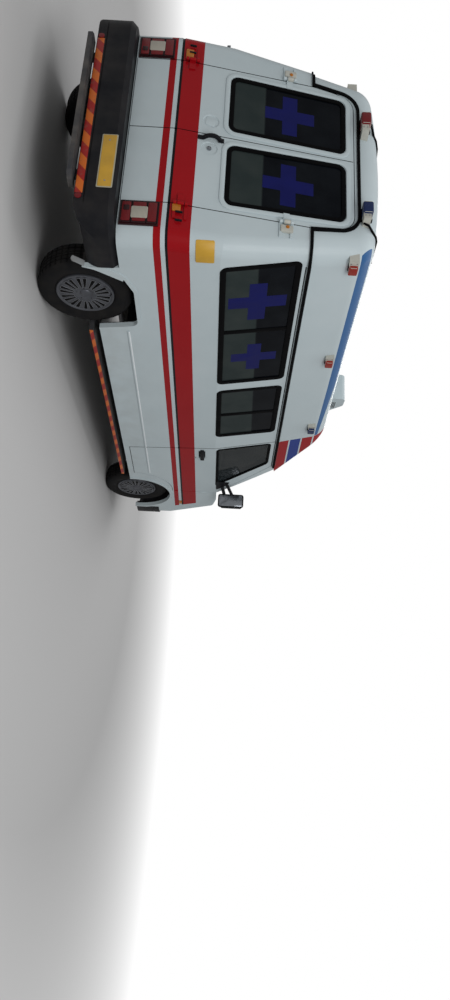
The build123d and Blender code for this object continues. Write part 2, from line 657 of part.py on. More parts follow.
def rear_step(parts):
    """The plank below the rear bumper, with cut corners, on two arms."""
    front_x = REAR_STEP_X + 120
    plank = extrude(Pos(0, 0, REAR_STEP_LOW_Z) * make_face(Polyline(
        (front_x, -REAR_STEP_HALF), (front_x, REAR_STEP_HALF), (REAR_STEP_X + 50, REAR_STEP_HALF),
        (REAR_STEP_X, REAR_STEP_HALF - 40), (REAR_STEP_X, -REAR_STEP_HALF + 40),
        (REAR_STEP_X + 50, -REAR_STEP_HALF), close=True)), amount=REAR_STEP_HIGH_Z - REAR_STEP_LOW_Z)
    arm = box(front_x, REAR_X - 60, -560, -500, REAR_STEP_LOW_Z + 6, REAR_STEP_HIGH_Z - 6)
    arm = arm + box(REAR_X - 95, REAR_X - 60, -560, -500, REAR_STEP_LOW_Z + 6, REAR_BUMPER_LOW_Z)
    parts["rear_step"] = plank + both(arm)


def front_bumper(parts):
    """A moulding that follows the nose, with an air slot, round lamp wells and a rubbing groove."""
    def slab(out, half_out, low, high):
        plan = nose_plan(NOSE_SIDE_X + out, HALF_WIDTH + half_out, NOSE_CORNER_RADIUS, NOSE_TURN)
        return extrude(Pos(0, 0, low) * plan, amount=high - low)
    skin = slab(FRONT_BUMPER_OUT, 8, FRONT_BUMPER_LOW_Z, FRONT_BUMPER_HIGH_Z)
    inside = nose_plan(NOSE_SIDE_X - 30, HALF_WIDTH - 60, NOSE_CORNER_RADIUS - 60, NOSE_TURN)
    bumper = skin - extrude(Pos(0, 0, FRONT_BUMPER_LOW_Z) * inside, amount=FRONT_BUMPER_HIGH_Z - FRONT_BUMPER_LOW_Z)
    groove_z = FRONT_BUMPER_HIGH_Z - 70
    groove = slab(FRONT_BUMPER_OUT + 9, 20, groove_z, groove_z + 12) - slab(
        FRONT_BUMPER_OUT - 8, 0, groove_z, groove_z + 12)
    bumper = bumper - groove - across(FACE_X, AHEAD, 330, FRONT_BUMPER_LOW_Z + 45, FRONT_BUMPER_LOW_Z + 110)
    for y in (-560, 560):
        bumper = bumper - rod_along(42, FACE_X + 84, AHEAD, y, FRONT_BUMPER_LOW_Z + 80)
    parts["front_bumper"] = bumper & across(FRONT_BUMPER_X, AHEAD, SIDE_REACH + 100, 0, FAR)


def side_steps(parts):
    """Running boards with a round outer edge, each on brackets from the chassis rail."""
    z0, z1 = STEP_LOW_Z, STEP_HIGH_Z
    outer_y, inner_y = -STEP_OUT_Y, -STEP_OUT_Y + STEP_WIDTH
    rail_y = -RAIL_Y - RAIL_WIDTH / 2
    board = along_x(rounded_cross([(outer_y, z0), (inner_y, z0), (inner_y, z1), (outer_y, z1)], [14, 1, 1, 14]),
                    STEP_REAR_X, STEP_FRONT_X)
    board = board - box(STEP_REAR_X + 20, STEP_FRONT_X - 20, outer_y + 24, inner_y - 12, z0 - 1, z1 - 8)
    for k in range(4):
        x = STEP_REAR_X + 255 + k * (STEP_FRONT_X - STEP_REAR_X - 435) / 3
        board = board + box(x, x + 40, outer_y + 20, rail_y, z0 + 5, z1 - 5)
        board = board + box(x, x + 40, rail_y - 30, rail_y, z0 + 5, FLOOR_Z - RAIL_HEIGHT + 60)
    parts["side_steps"] = both(board)


def tail_lamps(parts):
    """An upright lamp each side: a frame with a raised lens in three steps."""
    inner_y, outer_y = REAR_DOOR_HALF + 9, HALF_WIDTH - 95
    frame = (envelope(-8) - OUTER) & box(BEHIND, REAR_X + 115, -outer_y, -inner_y, 640, 896)
    lenses = [
        # low z, high z
        (650, 716),
        (722, 816),
        (822, 886),
    ]
    bulge = envelope(-15) - OUTER
    for low, high in lenses:
        frame = frame + (bulge & box(BEHIND, REAR_X + 100, -outer_y + 12, -inner_y - 12, low, high))
    parts["tail_lamps"] = both(frame)


def nose_face(parts):
    """Headlamps with a lens and a bowl, and the barred grille between them."""
    opening = face_opening()
    lamp = (envelope(2) - envelope(60)) & opening & box(FACE_X, AHEAD, -HALF_WIDTH, 0, 0, FAR)
    parts["headlamps"] = both(lamp - grille_zone(0))
    zone = grille_zone(0)
    bars = zone - grille_zone(18)
    for k in range(1, 6):
        z = FACE_LOW_Z + 3 + k * 37
        bars = bars + (zone & across(FACE_X, AHEAD, HALF_WIDTH, z, z + 13))
    bars = bars + (zone & across(FACE_X, AHEAD, 9, 0, FAR))
    parts["grille"] = (envelope(4) - envelope(40)) & bars


def roof_lamps(parts):
    """Beacons on white brackets: three along each side and two at the rear, and a vent on top."""
    side = [
        # middle x of the lens, middle z
        (-360, 2214),
        (DOOR_REAR_X - 1505, 2214),
        (DOOR_REAR_X - 320, 2208),
    ]
    pods = []
    for x, z in side:
        foot = -side_y(z)
        bracket = box(x - 80, x - 38, foot - 30, foot + 40, z - 34, z + 34)
        lens = box(x - 40, x + 40, foot - 50, foot + 40, z - 30, z + 30)
        pods.append(bracket + chamfer(lens.edges().filter_by(Axis.X), 10))
    pods = pods + [mirror(p, Plane.XZ) for p in pods]
    rear = [
        # lens y from, lens y to, bracket y from, bracket y to
        (285, 385, 225, 287),
        (-520, -430, -560, -518),
    ]
    for y0, y1, foot0, foot1 in rear:
        lens = box(-590, -470, y0, y1, 2254, 2320)
        pods.append(chamfer(lens.edges().filter_by(Axis.Y), 10) + box(-575, -470, foot0, foot1, 2258, 2308))
    parts["roof_lamps"] = [pod - OUTER for pod in pods]
    vent_x = DOOR_REAR_X - 190
    vent = extrude(Pos(0, 0, 2300) * make_face(Polyline(
        (vent_x, -390), (vent_x + 350, -340), (vent_x + 350, -160), (vent_x, -110), close=True)), amount=300)
    vent = vent & along_y(rounded_side(
        [(vent_x, 2300), (vent_x + 350, 2300), (vent_x + 340, 2430), (vent_x + 180, 2560), (vent_x + 10, 2560)],
        [1, 1, 40, 70, 40]), -FAR, FAR)
    parts["roof_vent"] = vent - OUTER


def engine_block(parts):
    block = across(FIREWALL_X + 30, FRONT_WHEEL_X + 374, 230, 500, 960)
    support = across(FRONT_WHEEL_X + 24, FRONT_WHEEL_X + 84, RAIL_Y - RAIL_WIDTH / 2, 520, 560)
    parts["engine_block"] = block + support


def dashboard(parts):
    """A moulded top with an instrument hood, and the steering column."""
    profile = rounded_side(
        [(FIREWALL_X, 960), (FIREWALL_X, 1285), (DASH_X + 60, 1285), (DASH_X, 1235), (DASH_X + 15, 1040),
         (DASH_X + 70, 960)], [1, 20, 30, 30, 30, 1])
    half = HALF_WIDTH - 75
    dash = along_y(profile, -half, half)
    hood = along_y(rounded_side(
        [(DASH_X + 80, 1260), (FIREWALL_X - 30, 1260), (FIREWALL_X - 30, 1292), (DASH_X + 88, 1312)], 9),
        -STEERING_Y - 170, -STEERING_Y + 170)
    column = Pos(STEERING_X, -STEERING_Y, STEERING_Z) * Rot(0, STEERING_TILT, 0) * (
        Pos(0, 0, -151) * Cylinder(34, 260))
    parts["dashboard"] = dash + hood + column


def steering_wheel(parts):
    rim = revolve(Plane.XZ * make_face(Pos(190, 0) * RegularPolygon(15, 8)), Axis.Z)
    wheel = rim + Cylinder(45, 30)
    for angle in (0, 180, 270):
        wheel = wheel + Rot(0, 0, angle) * box(0, 184, -16, 16, -6, 6)
    parts["steering_wheel"] = Pos(STEERING_X, -STEERING_Y, STEERING_Z) * Rot(0, STEERING_TILT, 0) * wheel


def cab_seats(parts):
    """Each seat: a pedestal, a cushion, a leaned back and a headrest on it."""
    width = 240
    cushion = along_y(rounded_side([(-240, 900), (270, 915), (275, 1020), (-240, 995)], 25), -width, width)
    pedestal = box(-190, 240, -200, 200, DECK_Z, 905)
    back = along_y(rounded_side([(-60, 0), (60, 0), (45, 560), (-45, 560)], 25), -width, width)
    rest = box(-32, 38, -120, 120, 540, 720)
    leaned = Pos(-200, 0, 975) * Rot(0, -12, 0) * (back + rest)
    seat = Pos(SEAT_X, -SEAT_Y, 0) * (pedestal + cushion + leaned)
    parts["cab_seats"] = both(seat)


def partition(parts):
    """The bulkhead between cab and cabin, with a pane opening that has round corners."""
    wall = envelope(WALL + FIT) & across(PARTITION_X, PARTITION_X + 25, SIDE_REACH, DECK_Z, FAR)
    opening = along_x(rounded_cross([(-560, 1350), (560, 1350), (560, 1850), (-560, 1850)], 60),
                      PARTITION_X - 50, PARTITION_X + 50)
    parts["partition"] = wall - opening


def bench(parts):
    """The attendants' bench along the left wall: an open locker under a cushion."""
    inner_y, outer_y = HALF_WIDTH - 615, HALF_WIDTH - 65
    locker = box(430, 1090, inner_y + 25, outer_y, DECK_Z, 985) - box(450, 1070, inner_y, outer_y - 40, DECK_Z + 40, 950)
    cushion = box(420, 1100, inner_y, outer_y, 985, 1060)
    parts["bench"] = locker + chamfer(cushion.edges().filter_by(Axis.X), 14)


def stretcher(parts):
    """A wheeled stretcher: side tubes, cross tubes, four legs with castors and a mattress."""
    x0, x1 = -500, 1400
    y0, y1 = -500, 60
    bed = box(x0 + 30, x1 - 30, y0 + 30, y1 - 30, 905, 975)
    bed = bed + along_y(side_face(Polyline((x1 - 620, 970), (x1 - 30, 970), (x1 - 30, 1130), close=True)),
                        y0 + 40, y1 - 40)
    frame = bed
    for y in (y0 + 15, y1 - 15):
        frame = frame + rod_along(16, x0, x1, y, 915)
    for x in (x0 + 15, x1 - 15):
        frame = frame + rod_across(16, x, 915, y0 + 15, y1 - 15)
    for x in (x0 + 120, x1 - 140):
        for y in (y0 + 45, y1 - 45):
            frame = frame + box(x - 14, x + 14, y - 14, y + 14, DECK_Z + 80, 910)
            frame = frame + rod_across(50, x, DECK_Z + 50, y - 14, y + 14)
        frame = frame + rod_across(12, x, DECK_Z + 130, y0 + 45, y1 - 45)
    parts["stretcher"] = frame


def tow_plate(root_x, eye_x, eye_z):
    """A plate under a cross-member with a hole across it for a tow pin."""
    x0, x1 = sorted((root_x + 30, eye_x))
    plate = across(x0 - 15, x1 + 15, 10, eye_z, MEMBER_LOW_Z) + rod_across(35, eye_x, eye_z, -10, 10)
    return plate - rod_across(TOW_EYE_RADIUS, eye_x, eye_z, -20, 20)


def chassis_frame(parts):
    """Two channel rails, open to the middle, with cross-members and the tow eyes."""
    y0, y1 = -RAIL_Y - RAIL_WIDTH / 2, -RAIL_Y + RAIL_WIDTH / 2
    rail = box(REAR_X - 60, AHEAD, y0, y1, FLOOR_Z - RAIL_HEIGHT, FLOOR_Z)
    rail = rail - box(REAR_X - 70, AHEAD + 10, y0 + RAIL_WEB, y1 + 10, FLOOR_Z - RAIL_HEIGHT + RAIL_WEB, FLOOR_Z - RAIL_WEB)
    nose = nose_plan(NOSE_SIDE_X - 30, HALF_WIDTH - 60, NOSE_CORNER_RADIUS - 60, NOSE_TURN)
    frame = both(rail & extrude(nose, amount=FAR))
    front_x = FRONT_WHEEL_X + 404
    for x in (-700, -150, 900, 1450, 2000, FRONT_WHEEL_X - 476, front_x):
        frame = frame + across(x, x + 60, RAIL_Y + RAIL_WIDTH / 2 - RAIL_WEB, MEMBER_LOW_Z, FLOOR_Z - 15)
    parts["chassis_frame"] = frame + tow_plate(-700, -740, 320) + tow_plate(front_x + 20, front_x + 95, 400)


def exhaust(parts):
    y, z = -RAIL_Y + 160, MEMBER_LOW_Z - 75
    silencer = along_x(Plane.YZ * (Pos(y, z) * SlotOverall(230, 150)), 1700, 2300)
    parts["exhaust"] = silencer + rod_along(25, -740, FIREWALL_X - 20, y, z)


def fuel_tank(parts):
    y0, y1 = RAIL_Y - 300, RAIL_Y - 40
    parts["fuel_tank"] = along_x(rounded_cross([(y0, 300), (y1, 300), (y1, MEMBER_LOW_Z), (y0, MEMBER_LOW_Z)],
                                               [50, 50, 1, 1]), 700, 1500)


BODY_PARTS = [
    side_panels, sliding_door, cab_shell, bonnet, high_roof, windows, front_doors, mirrors, rear_doors,
    drip_moulding, floor_pan, rear_bumper, rear_step, front_bumper, side_steps, tail_lamps, nose_face,
    roof_lamps, engine_block, dashboard, steering_wheel, cab_seats, partition, bench, stretcher,
    chassis_frame, exhaust, fuel_tank,
]


def tyre():
    """A tyre about local Z, its tread and sidewalls flat-sided; scene.py rounds and grooves it."""
    half = TYRE_WIDTH / 2
    wall = [(RIM_RADIUS, half - 18), (RIM_RADIUS + 58, half), (TYRE_RADIUS - 24, half - 6), (TYRE_RADIUS, half - 30)]
    outline = wall + [(r, -z) for r, z in reversed(wall)]
    return revolve(Plane.XZ * make_face(Polyline(*outline, close=True)), Axis.Z)


def wheel():
    """A wheel under its cover: a dished disc with ten pairs of tapered slots round a raised hub."""
    profile = Plane.XZ * make_face(Polyline(
        (HUB_RADIUS + FIT, -20), (HUB_RADIUS + FIT, 66), (64, 70), (76, 88), (112, 95), (176, 86), (186, 80),
        (RIM_RADIUS, 86), (RIM_RADIUS, -80), (RIM_RADIUS - 12, -80), (RIM_RADIUS - 12, 20), (150, 40), (80, 30),
        (60, -20), close=True))
    disc = revolve(profile, Axis.Z)
    slot = extrude(Pos(0, 0, 10) * make_face(Polyline(
        (118, -6), (172, -10), (172, 10), (118, 6), close=True)), amount=110)
    slots = []
    for k in range(10):
        for lean in (-8, 8):
            slots.append(Rot(0, 0, 36 * k + lean) * slot)
    return disc - slots


def wheels(parts):
    cover, rubber = wheel(), tyre()
    for end, x in (("front", WHEELBASE), ("rear", 0)):
        for side_name, y, turn in (("right", -HALF_TRACK, 90), ("left", HALF_TRACK, -90)):
            place = Pos(x, y, TYRE_RADIUS) * Rot(turn, 0, 0)
            parts[f"tyre_{end}_{side_name}"] = place * rubber
            parts[f"wheel_{end}_{side_name}"] = place * cover


def knuckles(parts):
    """Steering knuckles: a bored boss, a stub axle, a brake drum and an arm."""
    pin = Pos(WHEELBASE, -KINGPIN_Y, TYRE_RADIUS)
    stub = rod_across(HUB_RADIUS, WHEELBASE, TYRE_RADIUS, -KINGPIN_Y - 130, -KINGPIN_Y)
    drum = rod_across(125, WHEELBASE, TYRE_RADIUS, -KINGPIN_Y - 76, -KINGPIN_Y - 42)
    arm = box(WHEELBASE - 150, WHEELBASE, -KINGPIN_Y - 10, -KINGPIN_Y + 15, TYRE_RADIUS - 60, TYRE_RADIUS - 40)
    right = (pin * Cylinder(30, 150) + stub + drum + arm) - pin * Cylinder(KINGPIN_RADIUS + FIT, 300)
    parts["knuckle_right"] = right
    parts["knuckle_left"] = mirror(right, Plane.XZ)


def front_axle(parts):
    """A beam with a fork at each end that holds the kingpin."""
    z = TYRE_RADIUS
    x0, x1 = WHEELBASE - 30, WHEELBASE + 30
    beam = across(x0, x1, KINGPIN_Y - 60, z - 65, z + 5)
    web = across(x0 - 1, x0 + 22, KINGPIN_Y - 110, z - 50, z - 10) + across(x1 - 22, x1 + 1, KINGPIN_Y - 110, z - 50, z - 10)
    fork = Pos(WHEELBASE, -KINGPIN_Y, z) * Cylinder(KINGPIN_RADIUS, 200)
    for low in (z - 100, z + 76):
        fork = fork + box(x0, x1, -KINGPIN_Y - 25, -KINGPIN_Y + 70, low, low + 24)
    fork = fork + box(x0, x1, -KINGPIN_Y + 45, -KINGPIN_Y + 75, z - 100, z + 100)
    parts["front_axle"] = (beam - web) + both(fork)


def rear_axle(parts):
    """A live axle with its differential housing, brake drums and stub ends."""
    housing = revolve(Plane.XZ * make_face(Polyline(
        (0, -150), (48, -150), (105, -95), (140, -40), (140, 40), (105, 95), (48, 150), (0, 150), close=True)), Axis.Z)
    z = TYRE_RADIUS
    axle = Pos(0, 0, z) * Rot(90, 0, 0) * housing
    axle = axle + rod_across(45, 0, z, -HALF_TRACK + 110, HALF_TRACK - 110)
    axle = axle + rod_across(HUB_RADIUS, 0, z, -HALF_TRACK - 20, HALF_TRACK + 20)
    parts["rear_axle"] = axle + both(rod_across(125, 0, z, -HALF_TRACK + 30, -HALF_TRACK + 110))


def leaf_springs(parts):
    """Three leaves of one curve at each end of both rails, with hangers up to the rail."""
    springs = [
        # axle x, half length, seat z
        (0, 600, TYRE_RADIUS + 45 + FIT),
        (WHEELBASE, 420, TYRE_RADIUS + 5 + FIT),
    ]
    thickness = 12
    leaves = []
    for x, half, seat in springs:
        hangers = [(end, rail_low(end)) for end in (x - half, x + half)]
        eye_z = min(z for _, z in hangers) - 30
        main_z = seat + 2 * thickness
        rise = eye_z - main_z
        radius = (half * half + rise * rise) / (2 * rise)
        centre = Pos(x, 0, main_z + radius)
        spring = None
        for k, share in ((0, 1.0), (1, 0.7), (2, 0.4)):
            small, large = sorted(abs(radius + n * thickness) for n in (k - 1, k))
            ring = Rot(90, 0, 0) * (Cylinder(large, 60) - Cylinder(small, 60))
            layer = (centre * ring) & box(x - half * share, x + half * share, -30, 30, 0, FLOOR_Z)
            spring = layer if spring is None else spring + layer
        for end, z in hangers:
            spring = spring + box(end - 25, end + 25, -25, 25, eye_z - 10, z + 3)
        right = (Pos(0, -RAIL_Y, 0) * spring) - parts["chassis_frame"]
        leaves.append(right)
        leaves.append(mirror(right, Plane.XZ))
    parts["leaf_springs"] = leaves


def build():
    parts = {}
    for make in BODY_PARTS:
        make(parts)
    lean = Rot(0, RAKE, 0)
    for name, shape in parts.items():
        parts[name] = [lean * s for s in shape] if isinstance(shape, list) else lean * shape
    for make in (wheels, knuckles, front_axle, rear_axle, leaf_springs):
        make(parts)
    return {name: Compound(s) if isinstance(s, list) else s for name, s in parts.items()}


OUTER = envelope(0)
SHELL = body_shell()
PANES = envelope(GLASS_INSET) - envelope(GLASS_INSET + GLASS_THICKNESS)

os.makedirs("parts", exist_ok=True)
NODES = build()
BOUNDS = Compound(list(NODES.values())).bounding_box()
MIDDLE_X = (BOUNDS.min.X + BOUNDS.max.X) / 2
print("bounds", BOUNDS, "middle x", MIDDLE_X)
for node, solid in NODES.items():
    export_step(Pos(-MIDDLE_X, 0, 0) * solid, os.path.join("parts", node + ".step"))
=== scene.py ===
"""Looks of a high-roof van ambulance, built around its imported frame. Metres throughout."""

import json
import math

import bmesh
import bpy
from mathutils import Matrix, Vector

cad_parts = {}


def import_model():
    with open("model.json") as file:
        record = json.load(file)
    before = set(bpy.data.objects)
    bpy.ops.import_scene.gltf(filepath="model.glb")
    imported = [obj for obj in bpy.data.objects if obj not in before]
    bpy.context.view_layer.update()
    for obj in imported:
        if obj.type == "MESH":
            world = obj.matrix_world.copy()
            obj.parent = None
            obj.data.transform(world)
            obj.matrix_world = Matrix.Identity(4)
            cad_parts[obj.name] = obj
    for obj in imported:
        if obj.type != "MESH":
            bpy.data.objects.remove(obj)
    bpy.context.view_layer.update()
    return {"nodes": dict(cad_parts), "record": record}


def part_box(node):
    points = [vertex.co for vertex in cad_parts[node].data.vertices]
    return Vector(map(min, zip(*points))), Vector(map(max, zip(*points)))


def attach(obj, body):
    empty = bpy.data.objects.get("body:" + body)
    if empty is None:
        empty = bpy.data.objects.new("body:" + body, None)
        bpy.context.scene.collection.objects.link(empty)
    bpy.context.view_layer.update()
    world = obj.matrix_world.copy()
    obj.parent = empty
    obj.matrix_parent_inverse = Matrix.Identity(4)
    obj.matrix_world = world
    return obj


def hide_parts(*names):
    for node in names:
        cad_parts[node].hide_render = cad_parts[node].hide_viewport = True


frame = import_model()

# The level body frame: origin on the ground under the rear axle, leaned nose-down as it stands
RAKE = math.radians(1.73)
tyre_low, tyre_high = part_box("tyre_rear_right")
front_low, front_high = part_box("tyre_front_right")
REAR_AXLE_X = (tyre_low.x + tyre_high.x) / 2
FRONT_AXLE_X = (front_low.x + front_high.x) / 2
TYRE_RADIUS = (tyre_high.z - tyre_low.z) / 2
HALF_TRACK = -(tyre_low.y + tyre_high.y) / 2
STANDING = Matrix.Translation((REAR_AXLE_X, 0, 0)) @ Matrix.Rotation(RAKE, 4, "Y")

# Body sizes
HALF_WIDTH = 0.945
SHOULDER_Z = 1.310
SIDE_LEAN = 0.155
DRIP_Z = 1.908
ROOF_LEAN = 0.185
REAR_X = -0.715
REAR_CREASE_Z = 0.960
REAR_LEAN = 0.175
WINDOW_LOW_Z = 1.328
WINDOW_HIGH_Z = 1.840
DOOR_REAR_X = 2.340

# Painted bands, as heights in the level body frame
RED_BAND = (0.962, 1.105)
BLACK_BAND = (0.944, 0.962)
THIN_RED_BAND = (0.866, 0.914)
BAND_END_X = 3.76
BAND_END_Z = 0.96
BAND_END_SLANT = 0.45
BLUE_BAND = (2.266, 2.340)
BLUE_BAND_X = (-0.475, 2.200)
BLUE_TIP_LENGTH = 0.9
BLUE_EDGE_OUT = 0.755
BLOCK_X = 2.215
BLOCK_SLANT = 0.12
BLOCK_LOW_Z = 1.918
BLOCK_STRIPE = 0.114
BLOCK_GAP = 0.014
BLOCK_OUT_Y = 0.62
FILM_HIGH_Z = 1.585

# How deep the painted skin reaches in from the side or the rear, and at their round corner
SKIN_DEPTH = 0.034
CORNER_DEPTH = 0.105
# Forward of this the bands lie on everything, not on the outer skin alone
NOSE_X = 3.3
# Behind and below these the inside is lined, and low down it is black, as in a wheel arch
LINING_X = 2.2
LINING_Z = 2.2
ARCH_Z = 0.78

# Colours, the painted ones as the two tones that they drift between
WHITE = (0.55, 0.62, 0.65, 1)
BLACK = (0.008, 0.008, 0.010, 1)
DUST = (0.23, 0.20, 0.17, 1)
LINING_TONE = (0.50, 0.50, 0.48, 1)
WHITE_TONES = ((0.50, 0.585, 0.615, 1), (0.58, 0.655, 0.68, 1))
RED_TONES = ((0.31, 0.003, 0.007, 1), (0.37, 0.006, 0.010, 1))
BLUE_TONES = ((0.032, 0.110, 0.28, 1), (0.050, 0.145, 0.33, 1))
DEEP_BLUE_TONES = ((0.012, 0.035, 0.22, 1), (0.020, 0.05, 0.28, 1))


def side_y(z):
    roof = max(0.0, z - DRIP_Z)
    return HALF_WIDTH - SIDE_LEAN * (max(0.0, z - SHOULDER_Z) - roof) - ROOF_LEAN * roof


def rear_x(z):
    return REAR_X + REAR_LEAN * max(0.0, z - REAR_CREASE_Z)


def facing(origin, outward, up):
    """A place whose x runs right, y up and z out, as seen by someone who faces the surface."""
    z = Vector(outward).normalized()
    x = Vector(up).cross(z).normalized()
    place = Matrix((x, z.cross(x), z)).transposed().to_4x4()
    place.translation = Vector(origin)
    return place


def on_side(side, x, z):
    """The surface of the right side (-1) or the left side (1) at that length and height."""
    lean = ROOF_LEAN if z > DRIP_Z else SIDE_LEAN if z > SHOULDER_Z else 0.0
    return facing((x, side * side_y(z), z), (0, side, lean), (0, -side * lean, 1))


def on_rear(y, z):
    lean = REAR_LEAN if z > REAR_CREASE_Z else 0.0
    return facing((rear_x(z), y, z), (-1, 0, lean), (lean, 0, 1))


# Materials


class Finish:
    """A material with one Principled shader, and short words for wiring its nodes."""

    def __init__(self, name, colour, roughness=0.5, **plain):
        self.material = bpy.data.materials.new(name)
        self.material.use_nodes = True
        self.tree = self.material.node_tree
        self.shader = self.tree.nodes["Principled BSDF"]
        self.shader.inputs["Base Color"].default_value = colour
        self.shader.inputs["Roughness"].default_value = roughness
        for socket, value in plain.items():
            self.shader.inputs[socket.replace("_", " ")].default_value = value
        self.material.diffuse_color = colour
        self.bump_height = None

    def node(self, kind, **values):
        made = self.tree.nodes.new(kind)
        for name, value in values.items():
            setattr(made, name, value)
        return made

    def feed(self, socket, value):
        if isinstance(value, bpy.types.NodeSocket):
            self.tree.links.new(value, socket)
        else:
            socket.default_value = value

    def work_out(self, operation, *values, clamp=False):
        made = self.node("ShaderNodeMath", operation=operation, use_clamp=clamp)
        for socket, value in zip(made.inputs, values):
            self.feed(socket, value)
        return made.outputs[0]

    def plus(self, first, second, clamp=False):
        return self.work_out("ADD", first, second, clamp=clamp)

    def minus(self, first, second):
        return self.work_out("SUBTRACT", first, second)

    def times(self, first, second):
        return self.work_out("MULTIPLY", first, second)

    def larger(self, first, second):
        return self.work_out("MAXIMUM", first, second)

    def over(self, value, limit):
        """1 where the value is over the limit, and 0 elsewhere."""
        return self.work_out("GREATER_THAN", value, limit)

    def under(self, value, limit):
        return self.work_out("LESS_THAN", value, limit)

    def between(self, value, low, high):
        return self.times(self.over(value, low), self.under(value, high))

    def ramped(self, value, start, end):
        """0 at start and 1 at end, held flat outside them."""
        made = self.node("ShaderNodeMapRange")
        self.feed(made.inputs["Value"], value)
        made.inputs["From Min"].default_value = start
        made.inputs["From Max"].default_value = end
        return made.outputs["Result"]

    def mix(self, share, first, second):
        made = self.node("ShaderNodeMix", data_type="RGBA")
        self.feed(made.inputs["Factor"], share)
        self.feed(made.inputs["A"], first)
        self.feed(made.inputs["B"], second)
        return made.outputs["Result"]

    def object_place(self, level=False, scale=(1, 1, 1)):
        where = self.node("ShaderNodeTexCoord").outputs["Object"]
        mapping = self.node("ShaderNodeMapping")
        self.tree.links.new(where, mapping.inputs["Vector"])
        if level:
            back = STANDING.inverted()
            mapping.inputs["Location"].default_value = back.translation
            mapping.inputs["Rotation"].default_value = back.to_euler()
        mapping.inputs["Scale"].default_value = scale
        return mapping.outputs["Vector"]

    def axes(self, level=True):
        """x, y and z in the level body frame, or else in the object's own."""
        parts = self.node("ShaderNodeSeparateXYZ")
        self.tree.links.new(self.object_place(level), parts.inputs[0])
        return parts.outputs

    def noise(self, scale, detail=3.0, stretch=(1, 1, 1)):
        made = self.node("ShaderNodeTexNoise")
        self.tree.links.new(self.object_place(scale=stretch), made.inputs["Vector"])
        made.inputs["Scale"].default_value = scale
        made.inputs["Detail"].default_value = detail
        return made.outputs["Fac"]

    def patches(self, scale, detail, low, high):
        """Soft patches from 0 to 1, cut from a noise between those two levels."""
        return self.ramped(self.noise(scale, detail), low, high)

    def cells(self, scale):
        """How far a point lies from the edge of its cell."""
        made = self.node("ShaderNodeTexVoronoi", feature="DISTANCE_TO_EDGE")
        self.tree.links.new(self.object_place(), made.inputs["Vector"])
        made.inputs["Scale"].default_value = scale
        return made.outputs["Distance"]

    def bump(self, height, distance, strength=1.0):
        made = self.node("ShaderNodeBump")
        self.feed(made.inputs["Height"], height)
        made.inputs["Distance"].default_value = distance
        made.inputs["Strength"].default_value = strength
        if self.bump_height is not None:
            self.tree.links.new(self.bump_height, made.inputs["Normal"])
        self.bump_height = made.outputs["Normal"]
        self.tree.links.new(self.bump_height, self.shader.inputs["Normal"])

    def colour(self, value):
        self.feed(self.shader.inputs["Base Color"], value)

    def roughness(self, low, high, share):
        made = self.node("ShaderNodeMapRange")
        self.feed(made.inputs["Value"], share)
        made.inputs["To Min"].default_value = low
        made.inputs["To Max"].default_value = high
        self.tree.links.new(made.outputs["Result"], self.shader.inputs["Roughness"])


def shade(colour, times, plus=0.0):
    """A darker or paler tone of that colour."""
    return tuple(min(1.0, c * times + plus) for c in colour[:3]) + (1,)


def dusted(finish, colour, height=0.75, amount=0.35):
    """Road dust that thickens towards the ground, over that colour."""
    low_down = finish.ramped(finish.axes()[2], height, 0.25)
    patchy = finish.patches(7.0, 6.0, 0.35, 0.75)
    share = finish.times(finish.times(low_down, patchy), amount)
    return finish.mix(share, colour, DUST), share


